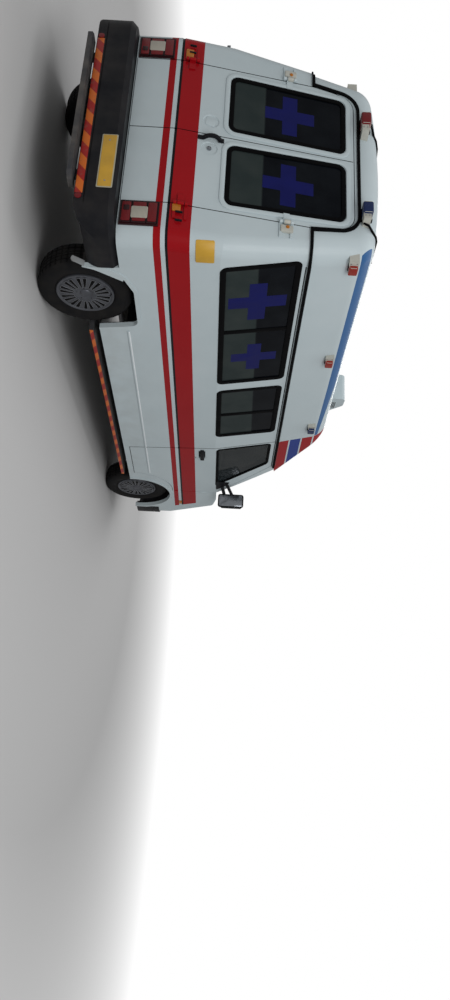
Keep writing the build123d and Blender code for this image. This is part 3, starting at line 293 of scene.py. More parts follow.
def body_paint():
    """White body paint with the ambulance's bands, stripes and road dust."""
    finish = Finish("body_paint", WHITE, 0.3, Coat_Weight=0.05, Coat_Roughness=0.1, Specular_IOR_Level=0.12)
    x, y, z = finish.axes()[:3]
    out_y = finish.work_out("ABSOLUTE", y)

    def above(height, share):
        return finish.times(finish.larger(finish.minus(z, height), 0.0), share)

    # Only the outer skin is striped: how far a point lies inside the side plane and the rear plane tells
    leaned = finish.plus(above(SHOULDER_Z, -SIDE_LEAN), above(DRIP_Z, SIDE_LEAN - ROOF_LEAN))
    from_side = finish.minus(finish.plus(HALF_WIDTH, leaned), out_y)
    from_rear = finish.minus(x, finish.plus(REAR_X, above(REAR_CREASE_Z, REAR_LEAN)))
    flat_skin = finish.larger(finish.under(from_side, SKIN_DEPTH), finish.under(from_rear, SKIN_DEPTH))
    round_corner = finish.under(finish.plus(from_side, from_rear), CORNER_DEPTH)
    outside = finish.larger(flat_skin, round_corner)
    inside = finish.minus(1.0, outside)
    slanted_end = finish.plus(x, finish.times(finish.minus(z, BAND_END_Z), BAND_END_SLANT))
    painted = finish.larger(outside, finish.over(x, NOSE_X))
    striped = finish.times(painted, finish.under(slanted_end, BAND_END_X))
    faded = finish.noise(3.0, 4.0)
    paint = finish.mix(faded, *WHITE_TONES)
    lined = finish.times(finish.times(inside, finish.under(x, LINING_X)), finish.under(z, LINING_Z))
    paint = finish.mix(lined, paint, LINING_TONE)
    paint = finish.mix(finish.times(inside, finish.under(z, ARCH_Z)), paint, BLACK)
    red = finish.mix(faded, *RED_TONES)
    bands = [
        # low z, high z, colour
        (*RED_BAND, red),
        (*THIN_RED_BAND, red),
        (*BLACK_BAND, BLACK),
    ]
    for low, high, colour in bands:
        paint = finish.mix(finish.times(finish.between(z, low, high), striped), paint, colour)
    # The roof's blue stripe lies on the rounded edge and narrows to a tip at the block of stripes
    tip = finish.ramped(x, BLUE_BAND_X[1] - BLUE_TIP_LENGTH, BLUE_BAND_X[1])
    blue_low = finish.plus(BLUE_BAND[0], finish.times(tip, -0.006))
    blue_high = finish.plus(BLUE_BAND[1], finish.times(tip, -0.050))
    blue = finish.times(finish.over(z, blue_low), finish.under(z, blue_high))
    blue = finish.times(blue, finish.between(x, *BLUE_BAND_X))
    roof_edge = finish.plus(out_y, finish.minus(z, BLUE_BAND[0]))
    blue = finish.times(blue, finish.over(roof_edge, BLUE_EDGE_OUT))
    paint = finish.mix(blue, paint, finish.mix(faded, *BLUE_TONES))
    block_rear = finish.over(finish.plus(x, finish.times(z, BLOCK_SLANT)), BLOCK_X + 0.264)
    block = finish.times(block_rear, finish.over(out_y, BLOCK_OUT_Y))
    deep_blue = finish.mix(faded, *DEEP_BLUE_TONES)
    for place, colour in enumerate((red, deep_blue, red, red)):
        low = BLOCK_LOW_Z + place * BLOCK_STRIPE
        stripe = finish.between(z, low, low + BLOCK_STRIPE - BLOCK_GAP)
        paint = finish.mix(finish.times(stripe, block), paint, colour)
    paint, dust = dusted(finish, paint, 0.85, 0.28)
    finish.colour(paint)
    finish.roughness(0.26, 0.62, finish.plus(dust, finish.times(faded, 0.25), clamp=True))
    finish.bump(finish.noise(2.2, 1.0), 0.004, 0.35)
    finish.bump(finish.noise(900.0, 1.0), 0.0001, 0.25)
    return finish.material


def plastic(name, colour, roughness=0.5, grain=1200.0, dusty=0.3, shine=0.5):
    """Moulded plastic or rubber, with worn patches, dust and a fine grain."""
    finish = Finish(name, colour, roughness, Specular_IOR_Level=shine)
    worn = finish.patches(9.0, 5.0, 0.4, 0.8)
    base = finish.mix(finish.times(worn, 0.5), colour, shade(colour, 1.5, 0.003))
    base, dust = dusted(finish, base, 0.8, dusty)
    finish.colour(base)
    finish.roughness(roughness, min(1.0, roughness + 0.3), finish.plus(dust, worn, clamp=True))
    finish.bump(finish.noise(grain, 2.0), 0.0002, 0.4)
    return finish.material


def metal(name, colour, roughness=0.35, grime=0.3, metallic=1.0, streak=(1, 1, 1)):
    finish = Finish(name, colour, roughness, Metallic=metallic)
    dull = finish.patches(14.0, 6.0, 0.35, 0.75)
    finish.colour(finish.mix(finish.times(dull, grime), colour, shade(colour, 0.55)))
    finish.roughness(roughness, min(1.0, roughness + 0.35), dull)
    finish.bump(finish.noise(350.0, 2.0, streak), 0.0002, 0.3)
    return finish.material


def glass(name, colour, see_through, roughness=0.03, shine=0.8):
    finish = Finish(name, colour, roughness, Alpha=1 - see_through, Specular_IOR_Level=shine)
    smudge = finish.patches(6.0, 5.0, 0.4, 0.8)
    finish.colour(finish.mix(finish.times(smudge, 0.25), colour, shade(colour, 0.6, 0.05)))
    finish.roughness(roughness, roughness + 0.12, smudge)
    return finish.material


def filmed_glass(name):
    """Dark glass whose lower part is paler and greener, with a film of dust."""
    finish = Finish(name, (0.010, 0.013, 0.016, 1), 0.06, Alpha=0.99, Specular_IOR_Level=0.05)
    lower = finish.ramped(finish.axes(level=False)[2], FILM_HIGH_Z, FILM_HIGH_Z - 0.012)
    smudge = finish.patches(5.0, 5.0, 0.35, 0.8)
    upper_colour = finish.mix(smudge, (0.003, 0.004, 0.006, 1), (0.008, 0.010, 0.013, 1))
    lower_colour = finish.mix(smudge, (0.026, 0.036, 0.036, 1), (0.040, 0.050, 0.048, 1))
    finish.colour(finish.mix(lower, upper_colour, lower_colour))
    finish.roughness(0.05, 0.2, smudge)
    return finish.material


def lens(name, colour, ridge_axis=2, ridge=0.008):
    """Moulded lamp plastic with fine ridges."""
    finish = Finish(name, colour, 0.12, Coat_Weight=0.15, Coat_Roughness=0.05, Specular_IOR_Level=0.3)
    wave = finish.work_out("SINE", finish.times(finish.axes()[ridge_axis], 2 * math.pi / ridge))
    finish.colour(finish.mix(finish.times(finish.ramped(wave, -1, 1), 0.6), colour, shade(colour, 0.55)))
    finish.roughness(0.1, 0.35, finish.noise(20.0, 4.0))
    finish.bump(wave, 0.0008, 0.6)
    return finish.material


TAPE_SLANT = 1.1
TAPE_REPEAT = 0.19


def tape(name, axis):
    """Reflective tape in red and orange blocks."""
    finish = Finish(name, (0.36, 0.02, 0.015, 1), 0.35, Specular_IOR_Level=0.3)
    axes = finish.axes()
    along = finish.plus(axes[axis], finish.times(axes[2], TAPE_SLANT))
    block = finish.over(finish.work_out("FRACT", finish.times(along, 1 / TAPE_REPEAT)), 0.5)
    colour = finish.mix(block, (0.34, 0.016, 0.014, 1), (0.62, 0.14, 0.02, 1))
    worn = finish.patches(30.0, 5.0, 0.55, 0.8)
    finish.colour(finish.mix(finish.times(worn, 0.5), colour, (0.20, 0.12, 0.09, 1)))
    finish.roughness(0.3, 0.7, worn)
    finish.bump(finish.cells(260.0), 0.0006, 0.5)
    return finish.material


REAR_HOUSE_X = (-0.46, 0.43)
FRONT_HOUSE_X = 3.03
HOUSE_OUT_Y = 0.47
HOUSE_Z = 1.0


def floor_covering():
    """Grey cabin floor, with black sealant over its wheel houses."""
    finish = Finish("floor_grey", (0.13, 0.135, 0.14, 1), 0.55, Specular_IOR_Level=0.3)
    x, y, z = finish.axes()[:3]
    worn = finish.patches(9.0, 5.0, 0.35, 0.8)
    colour = finish.mix(worn, (0.11, 0.115, 0.12, 1), (0.17, 0.175, 0.18, 1))
    at_a_wheel = finish.larger(finish.between(x, *REAR_HOUSE_X), finish.over(x, FRONT_HOUSE_X))
    house = finish.times(at_a_wheel, finish.over(finish.work_out("ABSOLUTE", y), HOUSE_OUT_Y))
    finish.colour(finish.mix(finish.times(house, finish.under(z, HOUSE_Z)), colour, BLACK))
    finish.roughness(0.45, 0.8, worn)
    finish.bump(finish.noise(150.0, 2.0), 0.0004, 0.5)
    return finish.material


def rubber_tyre():
    finish = Finish("tyre_rubber", (0.008, 0.008, 0.009, 1), 0.75, Specular_IOR_Level=0.12)
    grime = finish.patches(12.0, 6.0, 0.35, 0.75)
    finish.colour(finish.mix(finish.times(grime, 0.7), (0.006, 0.006, 0.007, 1), (0.026, 0.024, 0.022, 1)))
    finish.roughness(0.6, 0.95, grime)
    finish.bump(finish.noise(500.0, 3.0), 0.0004, 0.5)
    return finish.material


def fabric(name, colour, weave=0.0022):
    finish = Finish(name, colour, 0.85, Sheen_Weight=0.25)
    threads = 0.0
    for axis in finish.axes(level=False):
        threads = finish.plus(threads, finish.work_out("SINE", finish.times(axis, 2 * math.pi / weave)))
    worn = finish.patches(8.0, 5.0, 0.35, 0.75)
    finish.colour(finish.mix(worn, colour, shade(colour, 1.6, 0.02)))
    finish.bump(threads, 0.0003, 0.4)
    finish.bump(finish.noise(60.0, 4.0), 0.002, 0.3)
    return finish.material


def vinyl(name, colour):
    finish = Finish(name, colour, 0.42, Coat_Weight=0.1)
    worn = finish.patches(8.0, 5.0, 0.35, 0.75)
    finish.colour(finish.mix(worn, colour, shade(colour, 1.5, 0.02)))
    finish.bump(finish.cells(320.0), 0.0004, 0.5)
    return finish.material


PAINT = body_paint()
DARK_GLASS = filmed_glass("dark_glass")
CLEAR_GLASS = glass("clear_glass", (0.008, 0.014, 0.016, 1), 0.26, 0.03, 0.2)
LAMP_GLASS = glass("lamp_glass", (0.62, 0.64, 0.62, 1), 0.72, 0.06)
CHARCOAL = plastic("charcoal_plastic", (0.0045, 0.005, 0.0075, 1), 0.45, 1200.0, 0.12, 0.2)
RUBBER = plastic("black_rubber", (0.0015, 0.0015, 0.002, 1), 0.6, 600.0, 0.05, 0.06)
TYRE = rubber_tyre()
SILVER = metal("silver_cover", (0.105, 0.11, 0.125, 1), 0.30, 0.45, 0.6)
# Brighter silver for the slots' rims: a painted highlight on the cover's edges
SLOT_EDGE_HIGHLIGHT = metal("cover_edge_painted_highlight", (0.36, 0.37, 0.39, 1), 0.28, 0.3, 0.75)
BOWL_SILVER = metal("bowl_silver", (0.62, 0.63, 0.64, 1), 0.12, 0.1)
# The white flap coloured grey: painted shade
FLAP_SHADED_WHITE = plastic("flap_painted_shade", (0.30, 0.32, 0.33, 1), 0.6, 300.0, 0.5, 0.2)
TRIM_GREY = plastic("trim_grey", (0.060, 0.062, 0.066, 1), 0.6, 500.0, 0.1, 0.3)
STEEL = metal("plain_steel", (0.48, 0.48, 0.49, 1), 0.35, 0.3)
CHROME = metal("mirror_silver", (0.30, 0.32, 0.35, 1), 0.05, 0.05)
CHASSIS = plastic("chassis_black", (0.018, 0.0175, 0.0175, 1), 0.6, 200.0, 0.7, 0.3)
FLOOR = floor_covering()
CAST = metal("cast_iron", (0.10, 0.10, 0.10, 1), 0.6, 0.5, 0.6)
STEP = plastic("step_grey", (0.040, 0.042, 0.047, 1), 0.5, 150.0, 0.5, 0.25)
SEAT_CLOTH = fabric("seat_cloth", (0.045, 0.05, 0.06, 1))
BENCH_VINYL = vinyl("bench_vinyl", (0.06, 0.10, 0.16, 1))
MATTRESS_VINYL = vinyl("mattress_vinyl", (0.04, 0.07, 0.12, 1))
RED_LENS = lens("dark_red_lens", (0.19, 0.006, 0.010, 1))
BLACK_LENS = lens("smoked_lens", (0.030, 0.004, 0.006, 1))
BLUE_LENS = lens("dark_blue_lens", (0.006, 0.022, 0.10, 1))
ORANGE_LENS = lens("orange_red_lens", (0.34, 0.024, 0.012, 1))
AMBER_LENS = lens("amber_lens", (0.55, 0.19, 0.02, 1))
CLEAR_LENS = lens("pale_lens", (0.50, 0.47, 0.40, 1))
BRACKET_WHITE = plastic("bracket_white", (0.48, 0.48, 0.43, 1), 0.45, 400.0, 0.0)
REAR_TAPE = tape("rear_tape", 1)
SIDE_TAPE = tape("side_tape", 0)
PLATE_YELLOW = plastic("plate_yellow", (0.58, 0.33, 0.03, 1), 0.35, 300.0, 0.2)
PLATE_EDGE = plastic("plate_edge", (0.42, 0.40, 0.30, 1), 0.4, 300.0, 0.2)
FILM_BLUE = plastic("window_blue", (0.004, 0.006, 0.085, 1), 0.35, 300.0, 0.0, 0.12)
# A pale strip whose brightness is a painted highlight along the lower bead
BEAD_HIGHLIGHT = plastic("bead_painted_highlight", (0.80, 0.83, 0.85, 1), 0.35, 300.0, 0.1)
DIAL = plastic("dial_black", (0.01, 0.01, 0.012, 1), 0.3, 300.0, 0.0)
LINING = plastic("cabin_lining", (0.40, 0.40, 0.38, 1), 0.6, 300.0, 0.2)

NODE_FINISH = {
    "white_paint": PAINT, "dark_glass": DARK_GLASS, "clear_glass": CLEAR_GLASS,
    "black_plastic": CHARCOAL, "black_rubber": RUBBER, "tyre": TYRE, "silver": SILVER,
    "lamp_red": RED_LENS, "lamp_mixed": BRACKET_WHITE, "lamp_clear": LAMP_GLASS,
    "chassis_black": CHASSIS, "floor_grey": FLOOR, "cast": CAST, "steel": STEEL,
    "seat_fabric": SEAT_CLOTH, "step_metal": STEP,
}


def dress_nodes():
    """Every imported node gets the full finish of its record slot; the tail lamps' frames are smoked."""
    for row in frame["record"]["subparts"]:
        node = frame["nodes"][row["node"]]
        finish = BLACK_LENS if row["node"] == "tail_lamps" else NODE_FINISH[row["material_slot"]]
        if not node.data.materials:
            node.data.materials.append(finish)
        for place in range(len(node.material_slots)):
            node.material_slots[place].material = finish


# Shapes


def put(bm, place):
    """The whole shape, moved to that place."""
    bmesh.ops.transform(bm, matrix=place, verts=bm.verts)
    return bm


def slab(bm, size, place=Matrix()):
    made = bmesh.ops.create_cube(bm, size=1, matrix=place @ Matrix.Diagonal((*size, 1)))
    return made["verts"]


def span(bm, x0, x1, y0, y1, z0, z1):
    middle = Matrix.Translation(((x0 + x1) / 2, (y0 + y1) / 2, (z0 + z1) / 2))
    return slab(bm, (abs(x1 - x0), abs(y1 - y0), abs(z1 - z0)), middle)


def soften(bm, width, segments=2, verts=None, sharper_than=0.5):
    """Rounds the sharp edges of those vertices, or of the whole shape."""
    chosen = set(verts) if verts else None
    edges = [
        e for e in bm.edges
        if len(e.link_faces) == 2 and e.calc_face_angle(0) > sharper_than
        and (chosen is None or (e.verts[0] in chosen and e.verts[1] in chosen))
    ]
    bmesh.ops.bevel(bm, geom=edges, offset=width, segments=segments, profile=0.5, affect="EDGES",
                    material=-1, clamp_overlap=True)


def rod(bm, start, end, radius, segments=16, end_radius=None):
    start, end = Vector(start), Vector(end)
    place = Matrix.Translation((start + end) / 2) @ (end - start).to_track_quat("Z", "Y").to_matrix().to_4x4()
    made = bmesh.ops.create_cone(
        bm, cap_ends=True, cap_tris=False, segments=segments, radius1=radius,
        radius2=radius if end_radius is None else end_radius, depth=(end - start).length, matrix=place)
    return made["verts"]


def peg(bm, place, low, high, radius, segments=16, end_radius=None, x=0.0, y=0.0):
    """A rod that stands on place, from low to high."""
    return rod(bm, place @ Vector((x, y, low)), place @ Vector((x, y, high)), radius, segments, end_radius)


def bar(bm, points, radius, sides=10):
    """A round bar bent along points."""
    points = [Vector(p) for p in points]
    loops = []
    for place, point in enumerate(points):
        before = points[max(0, place - 1)]
        after = points[min(len(points) - 1, place + 1)]
        turn = (after - before).to_track_quat("Z", "Y").to_matrix().to_4x4()
        ring = bmesh.ops.create_circle(bm, cap_ends=False, segments=sides, radius=radius,
                                       matrix=Matrix.Translation(point) @ turn)["verts"]
        loops.append(ring)
    for first, second in zip(loops, loops[1:]):
        edges = {e for v in first for e in v.link_edges if e.other_vert(v) in first}
        edges |= {e for v in second for e in v.link_edges if e.other_vert(v) in second}
        bmesh.ops.bridge_loops(bm, edges=list(edges))
    for ring in (loops[0], loops[-1]):
        bmesh.ops.contextual_create(bm, geom=ring)
    bmesh.ops.recalc_face_normals(bm, faces=list({f for ring in loops for v in ring for f in v.link_faces}))


def lathe(bm, profile, segments=48):
    """A shape turned round Z from a closed or open profile of (radius, height)."""
    verts = [bm.verts.new((radius, 0, height)) for radius, height in profile]
    edges = [bm.edges.new(pair) for pair in zip(verts, verts[1:])]
    bmesh.ops.spin(bm, geom=verts + edges, axis=(0, 0, 1), cent=(0, 0, 0), angle=2 * math.pi,
                   steps=segments, use_merge=True)
    bmesh.ops.remove_doubles(bm, verts=bm.verts, dist=1e-6)
    bmesh.ops.recalc_face_normals(bm, faces=bm.faces)


def outline_face(bm, corners, radius, segments=7):
    """A flat face with round corners, in the xy plane."""
    verts = [bm.verts.new((x, y, 0)) for x, y in corners]
    bm.faces.new(verts)
    made = bmesh.ops.bevel(bm, geom=verts, offset=radius, segments=segments, profile=0.5, affect="VERTICES",
                           material=-1, clamp_overlap=True)
    faces = {f for v in made["verts"] for f in v.link_faces}
    return list(faces)


def pushed(bm, faces, depth):
    """Those flat faces become a closed plate, pushed out along z."""
    made = bmesh.ops.extrude_face_region(bm, geom=faces)
    moved = [v for v in made["geom"] if isinstance(v, bmesh.types.BMVert)]
    bmesh.ops.translate(bm, verts=moved, vec=(0, 0, depth))
    bmesh.ops.recalc_face_normals(bm, faces=bm.faces)


def plate(corners, radius, depth, place, rounding=0.0, lift=0.0):
    """A rounded plate standing on place, its back lifted off it by lift."""
    bm = bmesh.new()
    pushed(bm, outline_face(bm, corners, radius), depth)
    if rounding:
        soften(bm, rounding)
    return put(bm, place @ Matrix.Translation((0, 0, lift)))


def rim(corners, radius, width, depth, place, rounding=0.0, lift=0.0):
    """A rounded frame: the outline with a border of that width left, standing on place."""
    bm = bmesh.new()
    faces = outline_face(bm, corners, radius)
    bmesh.ops.inset_region(bm, faces=faces, thickness=width, use_even_offset=True, use_boundary=True)
    bmesh.ops.delete(bm, geom=faces, context="FACES")
    pushed(bm, list(bm.faces), depth)
    if rounding:
        soften(bm, rounding)
    return put(bm, place @ Matrix.Translation((0, 0, lift)))


def rectangle(width, height, x=0.0, y=0.0):
    return [(x - width / 2, y - height / 2), (x + width / 2, y - height / 2),
            (x + width / 2, y + height / 2), (x - width / 2, y + height / 2)]


def grown(corners, by):
    """The same four-cornered outline moved outwards by that much."""
    middle = sum((Vector(c) for c in corners), Vector((0, 0))) / len(corners)
    return [(x + math.copysign(by, x - middle.x), y + math.copysign(by, y - middle.y)) for x, y in corners]


def joined(*shapes):
    """Several shapes as one."""
    whole = bmesh.new()
    for shape in shapes:
        scratch = bpy.data.meshes.new("scratch")
        shape.to_mesh(scratch)
        whole.from_mesh(scratch)
        bpy.data.meshes.remove(scratch)
        shape.free()
    return whole


def piece(name, bm, finish, body, place=STANDING, smooth=math.radians(35)):
    """Makes the shape a piece of the vehicle, riding on that body."""
    mesh = bpy.data.meshes.new(name)
    put(bm, place)
    bm.to_mesh(mesh)
    bm.free()
    mesh.materials.append(finish)
    mesh.shade_smooth()
    mesh.set_sharp_from_angle(angle=smooth)
    made = bpy.data.objects.new(name, mesh)
    bpy.context.scene.collection.objects.link(made)
    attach(made, body)
    return made


def soft_span(bm, box, rounding, segments=2):
    """A rounded box added to a shape, given as x, y and z, each from and to."""
    soften(bm, rounding, segments, span(bm, *box))


def block(name, box, rounding, finish, body, slot, segments=2):
    """A piece that is one rounded box."""
    shape = bmesh.new()
    soft_span(shape, box, rounding, segments)
    return piece(name, shape, finish, body)


SIDES = (("right", -1), ("left", 1))


def touch(node, start, direction, lift=0.0):
    """Where a ray in the level frame meets that node, lifted off its surface, and the surface's facing."""
    to_world = STANDING.to_3x3()
    hit, place, normal, _ = frame["nodes"][node].ray_cast(STANDING @ Vector(start),
                                                          to_world @ Vector(direction))
    if not hit:
        raise ValueError(f"nothing of {node} lies that way")
    normal = (to_world.inverted() @ normal).normalized()
    if normal.dot(Vector(direction)) > 0:
        normal = -normal
    return STANDING.inverted() @ place + normal * lift, normal


def sliced(bm, step, axis=0):
    """Cuts a shape across every step, so that it can bend."""
    low = min(v.co[axis] for v in bm.verts)
    high = max(v.co[axis] for v in bm.verts)
    across = Vector((0, 0, 0))
    across[axis] = 1
    for k in range(1, int((high - low) / step) + 1):
        geom = bm.verts[:] + bm.edges[:] + bm.faces[:]
        bmesh.ops.bisect_plane(bm, geom=geom, plane_co=across * (low + k * step), plane_no=across, dist=1e-6)


def hugged(bm, place, node, depth=0.3):
    """Bends a flat shape, drawn in place's own frame, onto that node's surface."""
    to_world = STANDING @ place
    out = (to_world.to_3x3() @ Vector((0, 0, 1))).normalized()
    for v in bm.verts:
        start = to_world @ Vector((v.co.x, v.co.y, depth))
        hit, where, _, _ = frame["nodes"][node].ray_cast(start, -out)
        if hit:
            v.co.z += (to_world.inverted() @ where).z
    return put(bm, place)


def mirrored(bm):
    """The same shape for the left side."""
    bmesh.ops.scale(bm, vec=(1, -1, 1), verts=bm.verts)
    bmesh.ops.reverse_faces(bm, faces=bm.faces)
    return bm


def for_side(bm, side):
    return bm if side < 0 else mirrored(bm)


# Windows


def side_outline(side, corners):
    """Window corners given as (x, z) turned to the side plane's own right and up."""
    slope = math.hypot(1, SIDE_LEAN)
    outline = [(-side * x, (z - WINDOW_LOW_Z) * slope) for x, z in corners]
    return outline if side < 0 else outline[::-1]


def rear_outline(corners):
    slope = math.hypot(1, REAR_LEAN)
    return [(-y, (z - WINDOW_LOW_Z) * slope) for y, z in corners]


CABIN_WINDOWS = [
    # name, rear x, front x, x of the sliding pane's bar
    ("middle", -0.432, 1.042, 0.315),
    ("front", 1.192, 2.010, 1.610),
]
DOOR_WINDOW_LOW_X = 3.172
DOOR_WINDOW_HIGH_X = 2.712
SEAL_WIDTH = 0.044
SEAL_OUT = 0.022


def window_corners(rear, front):
    return [(rear, WINDOW_LOW_Z), (front, WINDOW_LOW_Z), (front - 0.015, WINDOW_HIGH_Z),
            (rear - 0.015, WINDOW_HIGH_Z)]


def side_windows():
    for side_name, side in SIDES:
        place = on_side(side, 0, WINDOW_LOW_Z)
        for name, rear, front, bar_x in CABIN_WINDOWS:
            corners = side_outline(side, grown(window_corners(rear, front), SEAL_OUT))
            seal = rim(corners, 0.052, SEAL_WIDTH, 0.008, place, 0.002, -0.004)
            piece(f"seal_{name}_{side_name}", seal, RUBBER, "body")
            height = (WINDOW_HIGH_Z - WINDOW_LOW_Z) * math.hypot(1, SIDE_LEAN)
            shape = bmesh.new()
            slab(shape, (0.044, height - 0.01, 0.008),
                 place @ Matrix.Translation((-side * bar_x, height / 2, -0.004)))
            soften(shape, 0.002)
            piece(f"slide_bar_{name}_{side_name}", shape, RUBBER, "body")
        corners = [(DOOR_REAR_X - 0.027, WINDOW_LOW_Z), (DOOR_WINDOW_LOW_X, WINDOW_LOW_Z),
                   (DOOR_WINDOW_HIGH_X, WINDOW_HIGH_Z), (DOOR_REAR_X - 0.067, WINDOW_HIGH_Z)]
        seal = rim(side_outline(side, grown(corners, 0.010)), 0.042, 0.026, 0.006, place, 0.0015, -0.003)
        piece(f"seal_door_{side_name}", seal, RUBBER, f"door_{side_name}")


REAR_WINDOW = [
    # out from the middle, height
    (0.566, 1.330),
    (0.084, 1.330),
    (0.070, 2.125),
    (0.536, 2.125),
]


def rear_windows():
    place = on_rear(0, WINDOW_LOW_Z)
    for side_name, side in SIDES:
        outline = rear_outline([(side * y, z) for y, z in REAR_WINDOW])
        if side < 0:
            outline = outline[::-1]
        body = f"rear_door_{side_name}"
        seal = rim(grown(outline, SEAL_OUT), 0.064, 0.034, 0.008, place, 0.002, -0.004)
        piece(f"seal_rear_{side_name}", seal, RUBBER, body)
        raised = rim(grown(outline, 0.058), 0.090, 0.034, 0.009, place, 0.008, -0.0012)
        piece(f"window_rib_{side_name}", raised, PAINT, body)


def cross(bm, size, thickness, place):
    arm = size * 0.3
    half = size / 2
    corners = [(-arm / 2, -half), (arm / 2, -half), (arm / 2, -arm / 2), (half, -arm / 2), (half, arm / 2),
               (arm / 2, arm / 2), (arm / 2, half), (-arm / 2, half), (-arm / 2, arm / 2), (-half, arm / 2),
               (-half, -arm / 2), (-arm / 2, -arm / 2)]
    verts = [bm.verts.new((x, y, 0)) for x, y in corners]
    pushed(bm, [bm.faces.new(verts)], thickness)
    put(bm, place)


FILM = 0.0006
ON_GLASS = Matrix.Translation((0, 0, -0.0049))
SIDE_CROSSES = [
    # name, x, z, size
    ("rear", -0.04, 1.58, 0.42),
    ("front", 0.68, 1.59, 0.36),
]


def window_crosses():
    """Plain blue crosses on the dark windows, on the outside of the glass."""
    for side_name, side in SIDES:
        for name, x, z, size in SIDE_CROSSES:
            shape = bmesh.new()
            cross(shape, size, FILM, on_side(side, x, z) @ ON_GLASS)
            piece(f"cross_{name}_{side_name}", shape, FILM_BLUE, "body")
        shape = bmesh.new()
        cross(shape, 0.36, FILM, on_rear(side * 0.318, 1.74) @ ON_GLASS)
        piece(f"cross_rear_door_{side_name}", shape, FILM_BLUE, f"rear_door_{side_name}")


# Lamps


TAIL_LENSES = [
    # name, inner |y|, outer |y|, low z, high z, finish
    ("top", 0.672, 0.826, 0.826, 0.882, RED_LENS),
    ("middle", 0.672, 0.826, 0.726, 0.812, RED_LENS),
    ("reversing", 0.708, 0.802, 0.716, 0.824, CLEAR_LENS),
    ("foot", 0.672, 0.826, 0.654, 0.712, RED_LENS),
    ("turning", 0.700, 0.744, 0.664, 0.704, BLACK_LENS),
]


def tail_lamps():
    """Moulded lenses over each lamp's three steps, the pale and smoked ones standing out most."""
    for side_name, side in SIDES:
        for name, inner, outer, low, high, finish in TAIL_LENSES:
            place = on_rear(side * (inner + outer) / 2, (low + high) / 2)
            depth = 0.0045 if finish is RED_LENS else 0.0065
            shape = plate(rectangle(outer - inner, high - low), 0.010, depth, place, 0.002, 0.0142)
            piece(f"tail_lens_{name}_{side_name}", shape, finish, "body")
        ribs = bmesh.new()
        for z in (0.650, 0.719, 0.819, 0.887):
            place = on_rear(side * 0.749, z)
            slab(ribs, (0.168, 0.004, 0.006), place @ Matrix.Translation((0, 0, 0.012)))
        soften(ribs, 0.001)
        piece(f"tail_ribs_{side_name}", ribs, RUBBER, "body")


ROOF_LAMPS = [
    # middle x, middle z, lens finish
    (-0.360, 2.214, ORANGE_LENS),
    (0.835, 2.214, ORANGE_LENS),
    (2.020, 2.208, BLUE_LENS),
]
REAR_ROOF_LAMPS = [
    # name, lens y from, lens y to, middle y of its bracket, lens finish
    ("left", 0.285, 0.385, 0.256, RED_LENS),
    ("right", -0.520, -0.430, -0.539, BLUE_LENS),
]


def side_roof_lamps():
    """A ridged lens over each beacon, a dark base ring behind it and screws in its bracket."""
    for side_name, side in SIDES:
        for number, (x, z, finish) in enumerate(ROOF_LAMPS):
            place = facing((x, side * side_y(z), z), (0, side, 0), (0, 0, 1))
            shape = plate(rectangle(0.084, 0.064), 0.012, 0.040, place, 0.009, 0.0115)
            piece(f"roof_lens_{side_name}_{number}", shape, finish, "body")
            ring = plate(rectangle(0.090, 0.070), 0.014, 0.024, place, 0.003, -0.010)
            piece(f"roof_lens_base_{side_name}_{number}", ring, RUBBER, "body")
            screws = bmesh.new()
            for shift in (-0.021, 0.021):
                place = facing((x - 0.060, side * side_y(z), z + shift), (0, side, 0), (0, 0, 1))
                peg(screws, place, 0.028, 0.0325, 0.005, 12)
            soften(screws, 0.001)
            piece(f"roof_lamp_screws_{side_name}_{number}", screws, STEEL, "body")


def rear_roof_lamps():
    """The same over the rear doors, where the screws sit in the foot beside each lamp."""
    for name, y0, y1, foot_y, finish in REAR_ROOF_LAMPS:
        block(f"rear_roof_lens_{name}", (-0.593, -0.500, y0 - 0.002, y1 + 0.002, 2.251, 2.323), 0.012, finish,
              "body", "lamp_mixed", 4)
        block(f"rear_roof_lens_base_{name}", (-0.512, -0.480, y0 - 0.005, y1 + 0.005, 2.248, 2.326), 0.004,
              RUBBER, "body", "lamp_mixed")
        screws = bmesh.new()
        for z in (2.270, 2.296):
            rod(screws, (-0.5795, foot_y, z), (-0.574, foot_y, z), 0.005, 12)
        soften(screws, 0.001)
        piece(f"rear_roof_lamp_screws_{name}", screws, STEEL, "body")


def roof_point(x, y, lift):
    """The point that far above the roof skin, in the level frame."""
    roof = frame["nodes"]["high_roof"]
    start = STANDING @ Vector((x, y, 3.2))
    hit, place, _, _ = roof.ray_cast(start, Vector((0, 0, -1)))
    return STANDING.inverted() @ (place + Vector((0, 0, lift))) if hit else Vector((x, y, 2.4))


def roof_cables():
    """The black sleeve from each rear roof lamp, clipped down over the roof's round edge."""
    routes = [
        # name, points behind the roof as (x, y, z), then places on the roof as (x, y)
        ("right", [(-0.522, -0.560, 2.262), (-0.512, -0.572, 2.300)],
         [(-0.462, -0.574), (-0.43, -0.574), (-0.38, -0.573), (-0.32, -0.57), (-0.24, -0.565),
          (-0.15, -0.56)]),
        ("left", [(-0.535, 0.345, 2.316), (-0.518, 0.338, 2.334)],
         [(-0.462, 0.32), (-0.43, 0.305), (-0.38, 0.28), (-0.32, 0.25), (-0.24, 0.215), (-0.15, 0.19)]),
    ]
    for name, behind, over in routes:
        points = [Vector(p) for p in behind] + [roof_point(x, y, 0.006) for x, y in over]
        shape = bmesh.new()
        bar(shape, points, 0.0085, 12)
        grommet = roof_point(*over[-1], 0.004)
        rod(shape, grommet - Vector((0, 0, 0.008)), grommet + Vector((0, 0, 0.010)), 0.018, 20, 0.013)
        piece(f"roof_cable_{name}", shape, RUBBER, "body")


# Wheels

TREAD_SEGMENTS = 90


